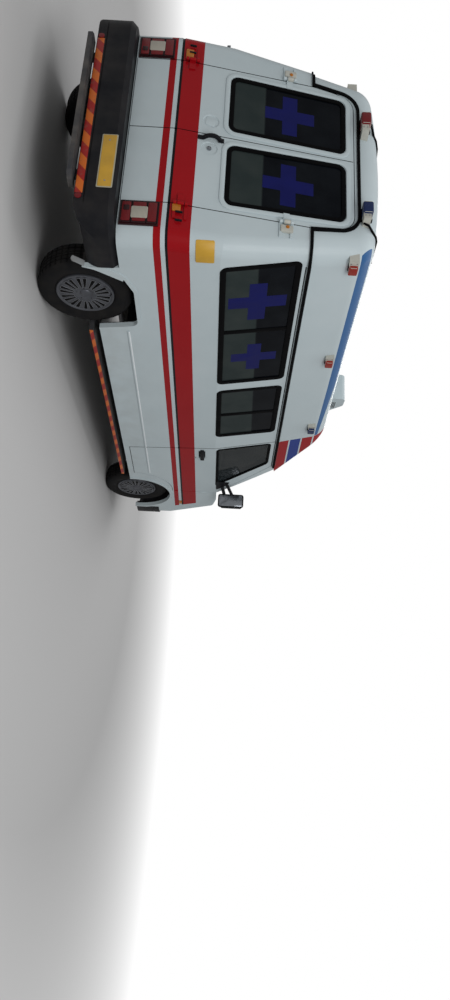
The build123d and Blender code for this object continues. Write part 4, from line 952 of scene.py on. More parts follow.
def tyre_shape():
    """A road tyre turned from its section, with ribs, grooves and cross cuts."""
    groove = 0.007
    crown = TYRE_RADIUS
    section = [
        (0.203, -0.072), (0.212, -0.082), (0.240, -0.092), (0.270, -0.0965), (0.295, -0.0970),
        (0.318, -0.092), (0.331, -0.083), (crown - 0.004, -0.072), (crown - 0.0015, -0.060),
    ]
    for low, high in ((-0.048, -0.040), (-0.016, -0.008), (0.008, 0.016), (0.040, 0.048)):
        section += [(crown, low), (crown - groove, low + 0.0012), (crown - groove, high - 0.0012),
                    (crown, high)]
    section += [(r, -z) for r, z in section[8::-1]]
    bm = bmesh.new()
    lathe(bm, section, TREAD_SEGMENTS * 2)
    cuts = []
    for face in bm.faces:
        middle = face.calc_center_median()
        radius = math.hypot(middle.x, middle.y)
        if radius > crown - 0.003 and abs(middle.z) < 0.066:
            turn = math.atan2(middle.y, middle.x) / (2 * math.pi) * TREAD_SEGMENTS * 2
            if int(math.floor(turn)) % 4 == 0:
                cuts.append(face)
    bmesh.ops.inset_individual(bm, faces=cuts, thickness=0.0012, depth=-0.006)
    return bm


COVER_PAIRS = 10
PAIR_SPREAD = math.radians(7.6)
SLOT_PLACE = Matrix.Translation((0.131, 0, 0.0926)) @ Matrix.Rotation(0.030, 4, "Y")


def wheel_cover_shape():
    """The silver cover's dish, its rolled edge and its small domed hub."""
    bm = bmesh.new()
    lathe(bm, [
        (0.0, 0.0960), (0.018, 0.0955), (0.030, 0.0930), (0.037, 0.0885), (0.040, 0.0850), (0.047, 0.0845),
        (0.053, 0.0880), (0.060, 0.0905), (0.072, 0.0925), (0.100, 0.0960), (0.140, 0.0950), (0.172, 0.0905),
        (0.184, 0.0870), (0.189, 0.0865), (0.194, 0.0915), (0.200, 0.0935), (0.206, 0.0920), (0.209, 0.0860),
        (0.208, 0.0740), (0.196, 0.0680), (0.100, 0.0600), (0.0, 0.0600),
    ], 96)
    return bm


def around_hub(make):
    """Twenty copies of a shape drawn along +x, in ten pairs round the hub."""
    whole = bmesh.new()
    for number in range(COVER_PAIRS):
        for spread in (-PAIR_SPREAD, PAIR_SPREAD):
            shape = make()
            turn = Matrix.Rotation(2 * math.pi * number / COVER_PAIRS + spread, 4, "Z")
            put(shape, turn)
            whole = joined(whole, shape)
    return whole


def slot_corners(grow):
    inner, outer = 0.0050 + grow, 0.0138 + grow
    start, end = -0.050 - grow, 0.047 + grow
    return [(start, -inner), (end, -outer), (end, outer), (start, inner)]


def cover_slot_shade():
    """Long slots that widen towards the rim, drawn as dark plates on the cover: painted shade in place of
    openings.
    """
    return around_hub(lambda: plate(slot_corners(0.0), 0.004, 0.0040, SLOT_PLACE))


# Raised rims round the slots, in a brighter silver that is a painted highlight on their edges
def cover_slot_rims():
    return around_hub(lambda: rim(slot_corners(0.0016), 0.006, 0.0018, 0.0044, SLOT_PLACE, 0.0006))


def cover_hole_shade():
    """The small holes round the hub, drawn as black studs: painted shade in place of openings."""
    whole = bmesh.new()
    for number in range(5):
        angle = 2 * math.pi * (number + 0.5) / 5
        start = Vector((0.062 * math.cos(angle), 0.062 * math.sin(angle), 0.0880))
        rod(whole, start, start + Vector((0, 0, 0.0042)), 0.0050, 14)
    return whole


def wheels():
    for end, axle_x in (("front", FRONT_AXLE_X), ("rear", REAR_AXLE_X)):
        for side_name, side in SIDES:
            body = f"wheel_{end}_{side_name}"
            centre = Matrix.Translation((axle_x, side * HALF_TRACK, TYRE_RADIUS))
            place = centre @ Matrix.Rotation(-side * math.pi / 2, 4, "X")
            tyre = piece(f"road_tyre_{end}_{side_name}", tyre_shape(), TYRE, body, place)
            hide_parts(f"tyre_{end}_{side_name}")
            piece(f"cover_{end}_{side_name}", wheel_cover_shape(), SILVER, body, place)
            piece(f"cover_slot_shade_{end}_{side_name}", cover_slot_shade(), RUBBER, body, place)
            piece(f"cover_rims_{end}_{side_name}", cover_slot_rims(), SLOT_EDGE_HIGHLIGHT, body, place)
            piece(f"cover_hole_shade_{end}_{side_name}", cover_hole_shade(), DIAL, body, place)
            valve = bmesh.new()
            rod(valve, (0, 0.188, 0.080), (0, 0.184, 0.104), 0.0035, 12)
            piece(f"valve_{end}_{side_name}", valve, RUBBER, body, place)


# Rear details

REAR_DOOR_EDGE = 0.645
HINGE_LINE_Y = 0.653
HINGE_OUT = 0.020


def hinge_covers():
    """The painted cover of each upper rear hinge: a cap that turns with the door and a box on the body."""
    for side_name, side in SIDES:
        place = on_rear(side * HINGE_LINE_Y, 1.735)
        cap = bmesh.new()
        start = place @ Vector((0, -0.0215, HINGE_OUT))
        end = place @ Vector((0, 0.0215, HINGE_OUT))
        rod(cap, start, end, 0.0155, 24)
        soften(cap, 0.002)
        piece(f"hinge_cap_{side_name}", cap, BRACKET_WHITE, f"rear_door_{side_name}")
        dot = on_rear(side * 0.696, 1.738)
        stud = bmesh.new()
        peg(stud, dot, 0.018, 0.028, 0.0125, 20)
        soften(stud, 0.002)
        piece(f"hinge_reflector_{side_name}", stud, AMBER_LENS, "body")
        box = plate(rectangle(0.054, 0.086), 0.006, 0.022, on_rear(side * 0.706, 1.735), 0.004)
        piece(f"hinge_box_{side_name}", box, BRACKET_WHITE, "body")
        for number, y in enumerate((0.724, 0.792)):
            hook = plate(rectangle(0.013, 0.048), 0.005, 0.012, on_rear(side * y, 1.022), 0.003, 0.009)
            piece(f"door_check_{number}_{side_name}", hook, CHARCOAL, "body")


def rear_plate():
    """The blank yellow plate on the bumper, in its pale border, with two screws."""
    face = facing((-0.862, -0.465, 0.548), (-1, 0, 0), (0, 0, 1))
    yellow = plate(rectangle(0.430, 0.088), 0.006, 0.003, face, 0.001, 0.0025)
    piece("rear_plate_blank", yellow, PLATE_YELLOW, "body")
    edge = plate(rectangle(0.446, 0.104), 0.008, 0.0025, face, 0.0008)
    piece("rear_plate_border", edge, PLATE_EDGE, "body")
    screws = bmesh.new()
    for x in (-0.170, 0.170):
        peg(screws, face, 0.004, 0.0075, 0.006, 16, x=x)
    soften(screws, 0.001)
    piece("rear_plate_screws", screws, STEEL, "body")


def rear_step_details():
    """The rear step's striped tape, its ribs and the red reflectors at its ends."""
    block("rear_tape_strip", (-0.8640, -0.8600, -0.74, 0.64, 0.367, 0.417), 0.001, REAR_TAPE, "body",
          "step_metal")
    ribs = bmesh.new()
    for k in range(7):
        x = -0.915 + 0.015 * k
        span(ribs, x - 0.003, x + 0.003, -0.59, 0.59, 0.3435, 0.3470)
    soften(ribs, 0.001)
    piece("rear_step_ribs", ribs, STEP, "body")
    ends = bmesh.new()
    for y in (-0.762, 0.662):
        rod(ends, (-0.860, y, 0.392), (-0.868, y, 0.392), 0.022, 28)
    soften(ends, 0.002)
    piece("rear_reflectors", ends, RED_LENS, "body")


def rear_markers():
    """The amber marker over each tail lamp, the left one wider."""
    for side_name, side in SIDES:
        middle, width = (0.706, 0.094) if side > 0 else (0.688, 0.060)
        place = on_rear(side * middle, 1.003)
        shape = plate(rectangle(width, 0.056), 0.010, 0.015, place, 0.004)
        piece(f"rear_marker_{side_name}", shape, AMBER_LENS, "body")


def rear_door_fittings():
    """The lock and the handle's feet on the right door, and the left door's dished plate."""
    lock = bmesh.new()
    place = on_rear(-0.124, 1.187)
    peg(lock, place, -0.008, 0.004, 0.016, 28)
    soften(lock, 0.002)
    peg(lock, place, 0.003, 0.006, 0.008, 20)
    piece("rear_lock", lock, CHROME, "rear_door_right")
    feet = bmesh.new()
    for z in (1.126, 1.264):
        place = on_rear(-0.043, z)
        verts = slab(feet, (0.034, 0.042, 0.010), place @ Matrix.Translation((0, 0, 0.005)))
        soften(feet, 0.003, 2, verts)
    piece("rear_handle_feet", feet, CHARCOAL, "rear_door_right")
    dent_plate = plate([(-0.048, -0.030), (0.030, -0.042), (0.046, 0.020), (-0.020, 0.044)], 0.012, 0.003,
                       on_rear(0.124, 1.187), 0.0012, -0.0058)
    piece("rear_dish_plate", dent_plate, PAINT, "rear_door_left")


def mud_flaps():
    """A pale curved flap that hangs from the body's edge behind each rear wheel, its white coloured grey as
    painted shade.
    """
    line = [(-0.352, 0.470), (-0.372, 0.425), (-0.400, 0.385), (-0.425, 0.350), (-0.442, 0.322),
            (-0.447, 0.308)]
    for side_name, side in SIDES:
        flap = bmesh.new()
        bmesh.ops.create_grid(flap, x_segments=6, y_segments=len(line) - 1, size=0.5)
        levels = sorted({round(v.co.y, 4) for v in flap.verts})
        for v in flap.verts:
            x, z = line[levels.index(round(v.co.y, 4))]
            across = v.co.x
            sag = 0.010 * (4 * across * across) if z == line[-1][1] else 0.0
            v.co = (x, side * (0.920 + 0.046 * across), z + sag)
        bmesh.ops.solidify(flap, geom=flap.faces[:], thickness=0.005)
        bmesh.ops.recalc_face_normals(flap, faces=flap.faces)
        soften(flap, 0.0015)
        piece(f"mud_flap_{side_name}", flap, FLAP_SHADED_WHITE, "body")


DRIP_SHADOW_AND_LIP = [
    # name, z, height, how far it stands out, finish
    # This black strip, named seal, is painted shadow under the gutter
    ("seal", 1.8885, 0.007, 0.0022, RUBBER),
    ("lip", 1.9285, 0.008, 0.0050, PAINT),
]


def drip_details():
    """A black strip under the gutter, standing for the painted shadow beneath it, and a lip in body paint
    above it.
    """
    for side_name, side in SIDES:
        for name, z, height, out, finish in DRIP_SHADOW_AND_LIP:
            place = on_side(side, 0, z)
            shape = bmesh.new()
            slab(shape, (3.20, height, out), place @ Matrix.Translation((-side * 1.20, 0, out / 2 - 0.0006)))
            soften(shape, 0.0008)
            piece(f"drip_{name}_{side_name}", shape, finish, "body")


def seam(name, points, body, radius=0.0030):
    """A line of black rubber in a panel gap."""
    shape = bmesh.new()
    bar(shape, points, radius, 8)
    piece(name, shape, RUBBER, body)


def door_rear_x(z):
    return DOOR_REAR_X - 0.0686 * (z - 0.470)


def on_skin(side, points):
    """Places on the side's own surface for (x, z) pairs."""
    return [(x, side * (side_y(z) - 0.0012), z) for x, z in points]


def seams():
    for side_name, side in SIDES:
        heights = [0.640, 0.960, 1.300, 1.600, 1.860, 1.915]
        edge = [(rear_x(z) + 0.001, side * (REAR_DOOR_EDGE + 0.003), z) for z in heights]
        edge += [(rear_x(z) + 0.001, side * y, z)
                 for y, z in ((0.640, 1.965), (0.627, 2.050), (0.614, 2.105))]
        seam(f"rear_door_seam_{side_name}", edge, "body")
        rear_edge = [(door_rear_x(z) - 0.003, z) for z in (0.470, 0.900, 1.300, 1.330, 1.600, 1.884)]
        seam(f"door_seam_rear_{side_name}", on_skin(side, rear_edge), "body")
        seam(f"door_seam_foot_{side_name}",
             on_skin(side, [(door_rear_x(0.47) - 0.003, 0.467), (2.944, 0.467)]), "body")
        # The lower bead on each side is a pale strip: its brighter colour is a painted highlight on the bead
        for name, start, end, body in (("cabin", 0.352, 2.318, "body"),
                                       ("door", 2.340, 2.925, f"door_{side_name}")):
            block(f"lower_bead_highlight_{name}_{side_name}", (start, end, side * 0.942, side * 0.9515, 0.617, 0.637),
                  0.0055, BEAD_HIGHLIGHT, body, "white_paint", 4)
    heights = [0.640, 0.955, 1.000, 1.400, 1.800, 2.200]
    seam("rear_door_seam_middle", [(rear_x(z) + 0.001, 0.0, z) for z in heights], "rear_door_left", 0.0029)
    corners = [(1.130, 0.530), (1.130, 1.310), (1.130, 1.820), (1.136, 1.862), (1.160, 1.884), (1.190, 1.887),
               (2.090, 1.887), (2.122, 1.884), (2.147, 1.862), (2.153, 1.820), (2.153, 1.310), (2.153, 0.530),
               (2.146, 0.492), (2.122, 0.470), (2.090, 0.467), (1.190, 0.467), (1.158, 0.470), (1.136, 0.492),
               (1.130, 0.530)]
    seam("sliding_door_seam", on_skin(1, corners), "body")


def side_plate():
    """The blank yellow plate on the right side, its rear edge raked with the body's round corner."""
    place = facing((-0.580, -HALF_WIDTH, 1.206), (0, -1, 0), (0, 0, 1))
    shape = bmesh.new()
    raked = [(-0.084, -0.062), (0.074, -0.062), (0.074, 0.062), (-0.069, 0.062)]
    pushed(shape, outline_face(shape, raked, 0.008), 0.006)
    soften(shape, 0.001)
    sliced(shape, 0.012)
    hugged(shape, place, "side_panel_right")
    piece("side_plate_blank_right", shape, PLATE_YELLOW, "body")


SLIDE_RAIL_X = (-0.622, 1.121)


def pull_in_pan(name, tail, side, box, pan_at, pan_size, body):
    """A moulded door pull in its shallow dark pan."""
    block(f"{name}_pull{tail}", box, 0.008, CHARCOAL, body, "black_plastic", 3)
    place = facing(pan_at, (0, side, 0), (0, 0, 1))
    pan = plate(rectangle(*pan_size), 0.014, 0.0025, place, 0.001, 0.0003)
    piece(f"{name}_pull_pan{tail}", pan, CHARCOAL, body)


def side_step_details(side_name, side):
    """The side step's striped tape and its ribs."""
    strip = bmesh.new()
    span(strip, 0.350, 2.975, side * 0.9500, side * 0.9516, 0.330, 0.358)
    piece(f"side_tape_strip_{side_name}", strip, SIDE_TAPE, "body")
    ribs = bmesh.new()
    for k in range(5):
        y = side * (0.800 + 0.028 * k)
        span(ribs, 0.40, 2.92, y - 0.004, y + 0.004, 0.3615, 0.3655)
    soften(ribs, 0.001)
    piece(f"side_step_ribs_{side_name}", ribs, STEP, "body")


def front_door_details(side_name, side):
    """The front door's pull, lock and hinges, and the amber repeater ahead of it."""
    door = f"door_{side_name}"
    pull_in_pan("door", f"_{side_name}", side, (2.326, 2.534, side * 0.938, side * 0.963, 1.161, 1.199),
                (2.430, side * 0.929, 1.177), (0.154, 0.064), door)
    lock = bmesh.new()
    rod(lock, (2.500, side * 0.944, 1.110), (2.500, side * 0.950, 1.110), 0.011, 24)
    soften(lock, 0.002)
    piece(f"door_lock_{side_name}", lock, STEEL, door)
    for number, z in enumerate((0.915, 1.190)):
        block(f"door_hinge_{number}_{side_name}",
              (3.366, 3.386, side * 0.940, side * 0.9510, z - 0.035, z + 0.035), 0.004, PAINT, door,
              "white_paint")
    lamp_shape = plate(rectangle(0.070, 0.034), 0.010, 0.012, on_side(side, 3.680, 0.930), 0.004)
    piece(f"wing_repeater_{side_name}", lamp_shape, AMBER_LENS, "body")


def sliding_door_details():
    """The rail that the left side's door slides on, and the door's pull."""
    rail = bmesh.new()
    span(rail, *SLIDE_RAIL_X, 0.932, 0.938, 1.266, 1.288)
    span(rail, *SLIDE_RAIL_X, 0.930, 0.934, 1.262, 1.268)
    piece("slide_rail", rail, STEEL, "body")
    pull_in_pan("sliding_door", "", 1, (1.921, 2.109, 0.934, 0.9615, 1.162, 1.198), (2.015, 0.929, 1.180),
                (0.148, 0.062), "body")


def side_details():
    for side_name, side in SIDES:
        side_step_details(side_name, side)
        front_door_details(side_name, side)
    sliding_door_details()


def mirror_heads():
    """A taller moulded head round each mirror, with its silver glass facing back."""
    place = Matrix.Translation((3.310, -1.063, 1.492)) @ Matrix.Rotation(math.radians(12), 4, "Z")
    for side_name, side in SIDES:
        door = f"door_{side_name}"
        head = bmesh.new()
        verts = slab(head, (0.092, 0.156, 0.286), Matrix.Translation((0.003, 0, 0)))
        front = [v for v in verts if v.co.x > 0]
        bmesh.ops.scale(head, vec=(1, 0.72, 0.86), verts=front)
        soften(head, 0.026, 5)
        put(head, place)
        piece(f"mirror_head_{side_name}", for_side(head, side), CHARCOAL, door)
        back = place @ facing((-0.0425, 0, 0), (-1, 0, 0), (0, 0, 1))
        frame_shape = rim(rectangle(0.137, 0.262), 0.024, 0.008, 0.005, back, 0.0015, 0.0)
        piece(f"mirror_rim_{side_name}", for_side(frame_shape, side), RUBBER, door)
        silver = plate(rectangle(0.125, 0.250), 0.020, 0.0025, back, 0.0005, 0.0005)
        piece(f"mirror_glass_{side_name}", for_side(silver, side), CHROME, door)


# Interior


def cushion(name, size, place, finish, body, crown=0.010, pull=0.006, channels=(), step=0.03):
    """A stuffed pad: a crowned top, sides pulled in between its corners, sewn channels and piping."""
    bm = bmesh.new()
    slab(bm, size)
    soften(bm, min(size) * 0.30, 5)
    for axis in range(2):
        sliced(bm, step, axis)
    half = [s / 2 for s in size]

    def drawn_in(out, along):
        """How far the cover is pulled in, at those shares of the half sizes."""
        return math.copysign(pull * max(0.0, 1 - along * along) * abs(out) ** 4, out)

    for v in bm.verts:
        a, b, c = (v.co[k] / half[k] for k in range(3))
        top = max(0.0, c)
        v.co.z += top * crown * (1 - a * a) * (1 - b * b) - crown * 0.35 * top
        v.co.x -= drawn_in(a, b)
        v.co.y -= drawn_in(b, a)
        for axis, at in channels:
            v.co.z -= top * 0.009 * math.exp(-(((v.co[axis] - at) / 0.009) ** 2))
    put(bm, place)
    made = piece(name, bm, finish, body, smooth=math.radians(70))
    rounded = made.modifiers.new("rounded", "SUBSURF")
    rounded.levels = 1
    rounded.render_levels = 1
    piping = bmesh.new()
    x, y, bend = half[0] - 0.014, half[1] - 0.014, 0.05
    corners = []
    for sx, sy, turn in ((1, -1, -90), (1, 1, 0), (-1, 1, 90), (-1, -1, 180)):
        for k in range(5):
            angle = math.radians(turn + 22.5 * k)
            corners.append((sx * (x - bend) + bend * math.cos(angle),
                            sy * (y - bend) + bend * math.sin(angle)))
    corners.append(corners[0])
    height = half[2] - crown * 0.35 - 0.008
    loop = []
    for px, py in corners:
        a, b = px / half[0], py / half[1]
        loop.append((px - drawn_in(a, b), py - drawn_in(b, a), height))
    bar(piping, loop, 0.0045, 8)
    put(piping, place)
    piece(f"{name}_piping", piping, finish, body)
    return made


UPWARD_TO_FORWARD = Matrix.Rotation(math.pi / 2, 4, "Y")
SEAT_X = 2.560
SEAT_Y = 0.430


def cab_seats():
    for side_name, side in SIDES:
        middle_y = side * SEAT_Y
        at = Matrix.Translation((SEAT_X, middle_y, 0))
        seat = cushion(f"seat_cushion_{side_name}", (0.505, 0.470, 0.110),
                       at @ Matrix.Translation((0.016, 0, 0.956)) @ Matrix.Rotation(math.radians(-2), 4, "Y"),
                       SEAT_CLOTH, "body", 0.018, 0.008, ((1, -0.135), (1, 0.135), (0, 0.09)))
        back_at = at @ Matrix.Translation((-0.200, 0, 0.975)) @ Matrix.Rotation(math.radians(-12), 4, "Y")
        cushion(f"seat_back_{side_name}", (0.540, 0.465, 0.112),
                back_at @ Matrix.Translation((0, 0, 0.283)) @ UPWARD_TO_FORWARD,
                SEAT_CLOTH, "body", 0.020, 0.010, ((1, -0.135), (1, 0.135), (0, -0.10)))
        cushion(f"headrest_{side_name}", (0.165, 0.235, 0.080),
                back_at @ Matrix.Translation((0.002, 0, 0.640)) @ UPWARD_TO_FORWARD,
                SEAT_CLOTH, "body", 0.012, 0.006)
        rods = bmesh.new()
        for y in (-0.060, 0.060):
            rod(rods, back_at @ Vector((0, y, 0.52)), back_at @ Vector((0.002, y, 0.60)), 0.006)
        piece(f"headrest_rods_{side_name}", rods, STEEL, "body")
        shell = bmesh.new()
        soft_span(shell, (2.372, 2.798, middle_y - 0.198, middle_y + 0.198, 0.662, 0.903), 0.018, 3)
        for y in (-0.150, 0.150):
            soft_span(shell, (2.330, 2.840, middle_y + y - 0.018, middle_y + y + 0.018, 0.641, 0.664), 0.004)
        piece(f"seat_pedestal_{side_name}", shell, CHARCOAL, "body")
        for y in (-1, 1):
            cover = bmesh.new()
            middle = at @ Vector((-0.205, y * 0.238, 0.968))
            rod(cover, middle - Vector((0, 0.012, 0)), middle + Vector((0, 0.012, 0)), 0.046, 32)
            soften(cover, 0.005)
            piece(f"seat_pivot_{side_name}_{(y + 1) // 2}", cover, CHARCOAL, "body")
        if side < 0:
            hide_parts("cab_seats")


def bench_seat():
    locker = block("bench_locker", (0.432, 1.088, 0.357, 0.878, 0.642, 0.984), 0.008, LINING, "body",
                   "floor_grey")
    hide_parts("bench")
    doors = bmesh.new()
    for middle in (0.600, 0.920):
        soft_span(doors, (middle - 0.148, middle + 0.148, 0.345, 0.358, 0.672, 0.958), 0.004)
    piece("bench_doors", doors, BRACKET_WHITE, "body")
    pulls = bmesh.new()
    for middle in (0.715, 0.805):
        soft_span(pulls, (middle - 0.008, middle + 0.008, 0.336, 0.347, 0.800, 0.880), 0.003)
    piece("bench_door_pulls", pulls, CHARCOAL, "body")
    cushion("bench_cushion", (0.672, 0.542, 0.072), Matrix.Translation((0.760, 0.605, 1.020)), BENCH_VINYL,
            "body", 0.012, 0.008, ((0, -0.112), (0, 0.112)), 0.02)


TROLLEY_Y = -0.220
TUBE_Y = (-0.484, 0.044)
TUBE_Z = 0.915
LEG_X = (-0.380, 1.260)
LEG_Y = (-0.455, 0.015)
BRACE_Z = 0.780
CASTOR_Z = 0.691


def stretcher_pads():
    """The patient trolley's mattress and its raised back part."""
    pad = cushion("stretcher_mattress", (1.250, 0.492, 0.070), Matrix.Translation((0.158, TROLLEY_Y, 0.940)),
                  MATTRESS_VINYL, "body", 0.010, 0.006,
                  ((0, -0.30), (0, 0.0), (0, 0.30)), 0.02)
    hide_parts("stretcher")
    tilt = Matrix.Translation((1.075, TROLLEY_Y, 1.033)) @ Matrix.Rotation(math.radians(-15.2), 4, "Y")
    cushion("stretcher_back", (0.585, 0.478, 0.066), tilt, MATTRESS_VINYL, "body",
            0.010, 0.006, ((0, -0.08),), 0.02)


def stretcher_frame():
    """The trolley's tubes with their side rails, the props of its back part, and its braced legs."""
    frame_shape = bmesh.new()
    for y in TUBE_Y:
        bar(frame_shape, [(x, y, TUBE_Z) for x in (-0.500, -0.300, 0.780, 1.380)], 0.015, 16)
        for x in (-0.330, 0.350):
            bar(frame_shape, [(x, y, 0.925), (x + 0.02, y, 0.985), (x + 0.05, y, 1.010), (x + 0.50, y, 1.010),
                              (x + 0.53, y, 0.985), (x + 0.55, y, 0.925)], 0.008, 12)
    for x in (-0.480, -0.100, 0.400, 0.780, 1.360):
        rod(frame_shape, (x, TUBE_Y[0], 0.905), (x, TUBE_Y[1], 0.905), 0.012, 16)
    for y in (-0.440, 0.000):
        prop = [(0.800, y, 0.945), (1.340, y, 1.090), (1.352, y, 1.070), (1.340, y, TUBE_Z)]
        bar(frame_shape, prop, 0.009, 12)
    for x in LEG_X:
        for y in LEG_Y:
            rod(frame_shape, (x, y, 0.905), (x, y, 0.745), 0.013, 16)
        rod(frame_shape, (x, LEG_Y[0], BRACE_Z), (x, LEG_Y[1], BRACE_Z), 0.011, 16)
    for y in LEG_Y:
        rod(frame_shape, (LEG_X[0], y, BRACE_Z), (LEG_X[1], y, BRACE_Z), 0.011, 16)
    piece("stretcher_frame", frame_shape, STEEL, "body")


def stretcher_castors():
    """A castor in its fork under each leg."""
    wheels_shape = bmesh.new()
    forks = bmesh.new()
    for x in LEG_X:
        for y in LEG_Y:
            verts = rod(wheels_shape, (x, y - 0.013, CASTOR_Z), (x, y + 0.013, CASTOR_Z), 0.050, 32)
            soften(wheels_shape, 0.005, 3, verts)
            for shift in (-0.019, 0.019):
                slab(forks, (0.022, 0.004, 0.075), Matrix.Translation((x, y + shift, 0.715)))
            slab(forks, (0.030, 0.044, 0.006), Matrix.Translation((x, y, 0.750)))
            rod(forks, (x, y - 0.021, CASTOR_Z), (x, y + 0.021, CASTOR_Z), 0.007, 12)
    piece("stretcher_castors", wheels_shape, RUBBER, "body")
    piece("stretcher_forks", forks, STEEL, "body")


def stretcher_straps():
    """Two straps over the mattress, turned down at its sides, with their buckles."""
    strap = bmesh.new()
    for x in (-0.020, 0.560):
        slab(strap, (0.046, 0.470, 0.004), Matrix.Translation((x, TROLLEY_Y, 0.9815)))
        for y, turn in ((-0.474, 1), (0.034, -1)):
            slab(strap, (0.046, 0.060, 0.004), Matrix.Translation((x, y, 0.953))
                 @ Matrix.Rotation(turn * math.radians(62), 4, "X"))
        slab(strap, (0.054, 0.060, 0.008), Matrix.Translation((x, -0.190, 0.984)))
    soften(strap, 0.001)
    piece("stretcher_straps", strap, CHARCOAL, "body")


DRIVER_Y = -0.420
RIM_RADIUS = 0.190
RIM_THICK = 0.0135


def steering_wheel():
    place = Matrix.Translation((2.975, DRIVER_Y, 1.240)) @ Matrix.Rotation(math.radians(-32), 4, "Y")
    whole = bmesh.new()
    ring = []
    for k in range(17):
        angle = 2 * math.pi * k / 16
        ring.append((RIM_RADIUS + RIM_THICK * math.cos(angle), RIM_THICK * math.sin(angle)))
    lathe(whole, ring, 72)
    for angle in (0, 180, 270):
        turn = Matrix.Rotation(math.radians(angle), 4, "Z")
        verts = slab(whole, (0.150, 0.030, 0.010), turn @ Matrix.Translation((0.112, 0, 0)))
        soften(whole, 0.004, 3, verts)
    put(whole, place)
    made = piece("steering_rim", whole, RUBBER, "steering_wheel")
    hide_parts("steering_wheel")
    hub = bmesh.new()
    lathe(hub, [(0, 0.0150), (0.025, 0.0142), (0.040, 0.0110), (0.0450, 0.0050), (0.0450, -0.0110),
                (0.040, -0.0150), (0, -0.0150)], 48)
    put(hub, place)
    piece("steering_hub", hub, CHARCOAL, "steering_wheel")
    stalks = bmesh.new()
    for side in (-1, 1):
        rod(stalks, place @ Vector((0, side * 0.030, -0.048)), place @ Vector((0, side * 0.150, -0.040)),
            0.006, 12)
        rod(stalks, place @ Vector((0, side * 0.150, -0.040)), place @ Vector((0, side * 0.178, -0.038)),
            0.010, 16, 0.008)
    piece("column_stalks", stalks, CHARCOAL, "body")


def dashboard_dials():
    """Three blank dials in bright rims, facing the driver."""
    facing_back = facing((3.176, DRIVER_Y, 1.262), (-1, 0, 0.12), (0.12, 0, 1))
    dials = bmesh.new()
    rims = bmesh.new()
    for x, radius in ((-0.085, 0.026), (0.0, 0.022), (0.085, 0.026)):
        peg(dials, facing_back, -0.004, 0.006, radius, 40, x=x, y=-0.002)
        ring = bmesh.new()
        lathe(ring, [(radius - 0.002, 0.004), (radius + 0.003, 0.004), (radius + 0.003, 0.009),
                     (radius - 0.002, 0.009), (radius - 0.002, 0.004)], 40)
        put(ring, facing_back @ Matrix.Translation((x, -0.002, 0)))
        rims = joined(rims, ring)
    piece("dials", dials, DIAL, "body")
    piece("dial_rims", rims, STEEL, "body")


def dashboard_vents():
    """Four air vents with their blades."""
    vents = bmesh.new()
    blades = bmesh.new()
    for y in (-0.800, -0.120, 0.120, 0.800):
        point, normal = touch("dashboard", (2.6, y, 1.180), (1, 0, 0))
        place = facing(point, normal, (0, 0, 1))
        vents = joined(vents, rim(rectangle(0.110, 0.056), 0.010, 0.007, 0.006, place, 0.001, -0.001))
        for k in range(5):
            slab(blades, (0.096, 0.002, 0.006), place @ Matrix.Translation((0, -0.018 + 0.009 * k, 0.002)))
    piece("vent_frames", vents, CHARCOAL, "body")
    piece("vent_blades", blades, DIAL, "body")


DASH_PANELS = [
    # y, z, width, height
    (0.480, 1.110, 0.360, 0.090),
    (0.0, 1.110, 0.180, 0.054),
    (0.0, 1.050, 0.180, 0.040),
]


def dashboard_panels():
    """The glovebox lid, the radio slot, the panel under it and a row of knobs, all blank."""
    boxes = bmesh.new()
    for y, z, width, height in DASH_PANELS:
        point, normal = touch("dashboard", (2.6, y, z), (1, 0, 0))
        boxes = joined(boxes, plate(rectangle(width, height), 0.008, 0.004, facing(point, normal, (0, 0, 1)),
                                    0.0015, -0.001))
    for k in range(4):
        point, normal = touch("dashboard", (2.6, -0.045 + 0.030 * k, 1.0), (1, 0, 0))
        rod(boxes, point, point + normal * 0.010, 0.008, 20)
    piece("dash_panels", boxes, DIAL, "body")


def gear_lever():
    """The gear lever with its knob and its boot."""
    lever = bmesh.new()
    bar(lever, [(2.900, 0.0, 0.641), (2.905, 0.0, 0.760), (2.885, 0.0, 0.860)], 0.008, 14)
    knob = bmesh.new()
    lathe(knob, [(0, 0.026), (0.014, 0.022), (0.020, 0.008), (0.018, -0.010), (0.010, -0.020), (0, -0.022)],
          28)
    put(knob, Matrix.Translation((2.882, 0.0, 0.878)))
    boot = bmesh.new()
    rod(boot, (2.900, 0.0, 0.640), (2.902, 0.0, 0.705), 0.050, 28, 0.014)
    piece("gear_lever", lever, STEEL, "body")
    piece("gear_knob", knob, RUBBER, "body")
    piece("gear_boot", boot, RUBBER, "body")


def foot_pedals():
    """Three pedals on their arms."""
    pedals = bmesh.new()
    for y in (-0.560, -0.440, -0.320):
        verts = slab(pedals, (0.012, 0.058, 0.070), Matrix.Translation((3.060, y, 0.760))
                     @ Matrix.Rotation(math.radians(24), 4, "Y"))
        soften(pedals, 0.003, 2, verts)
        bar(pedals, [(3.066, y, 0.780), (3.100, y, 0.860), (3.120, y, 0.975)], 0.006, 10)
    piece("pedals", pedals, RUBBER, "body")


WIPER_REACH = 0.50
WIPER_Z = 1.372
WIPER_RISE = 0.055


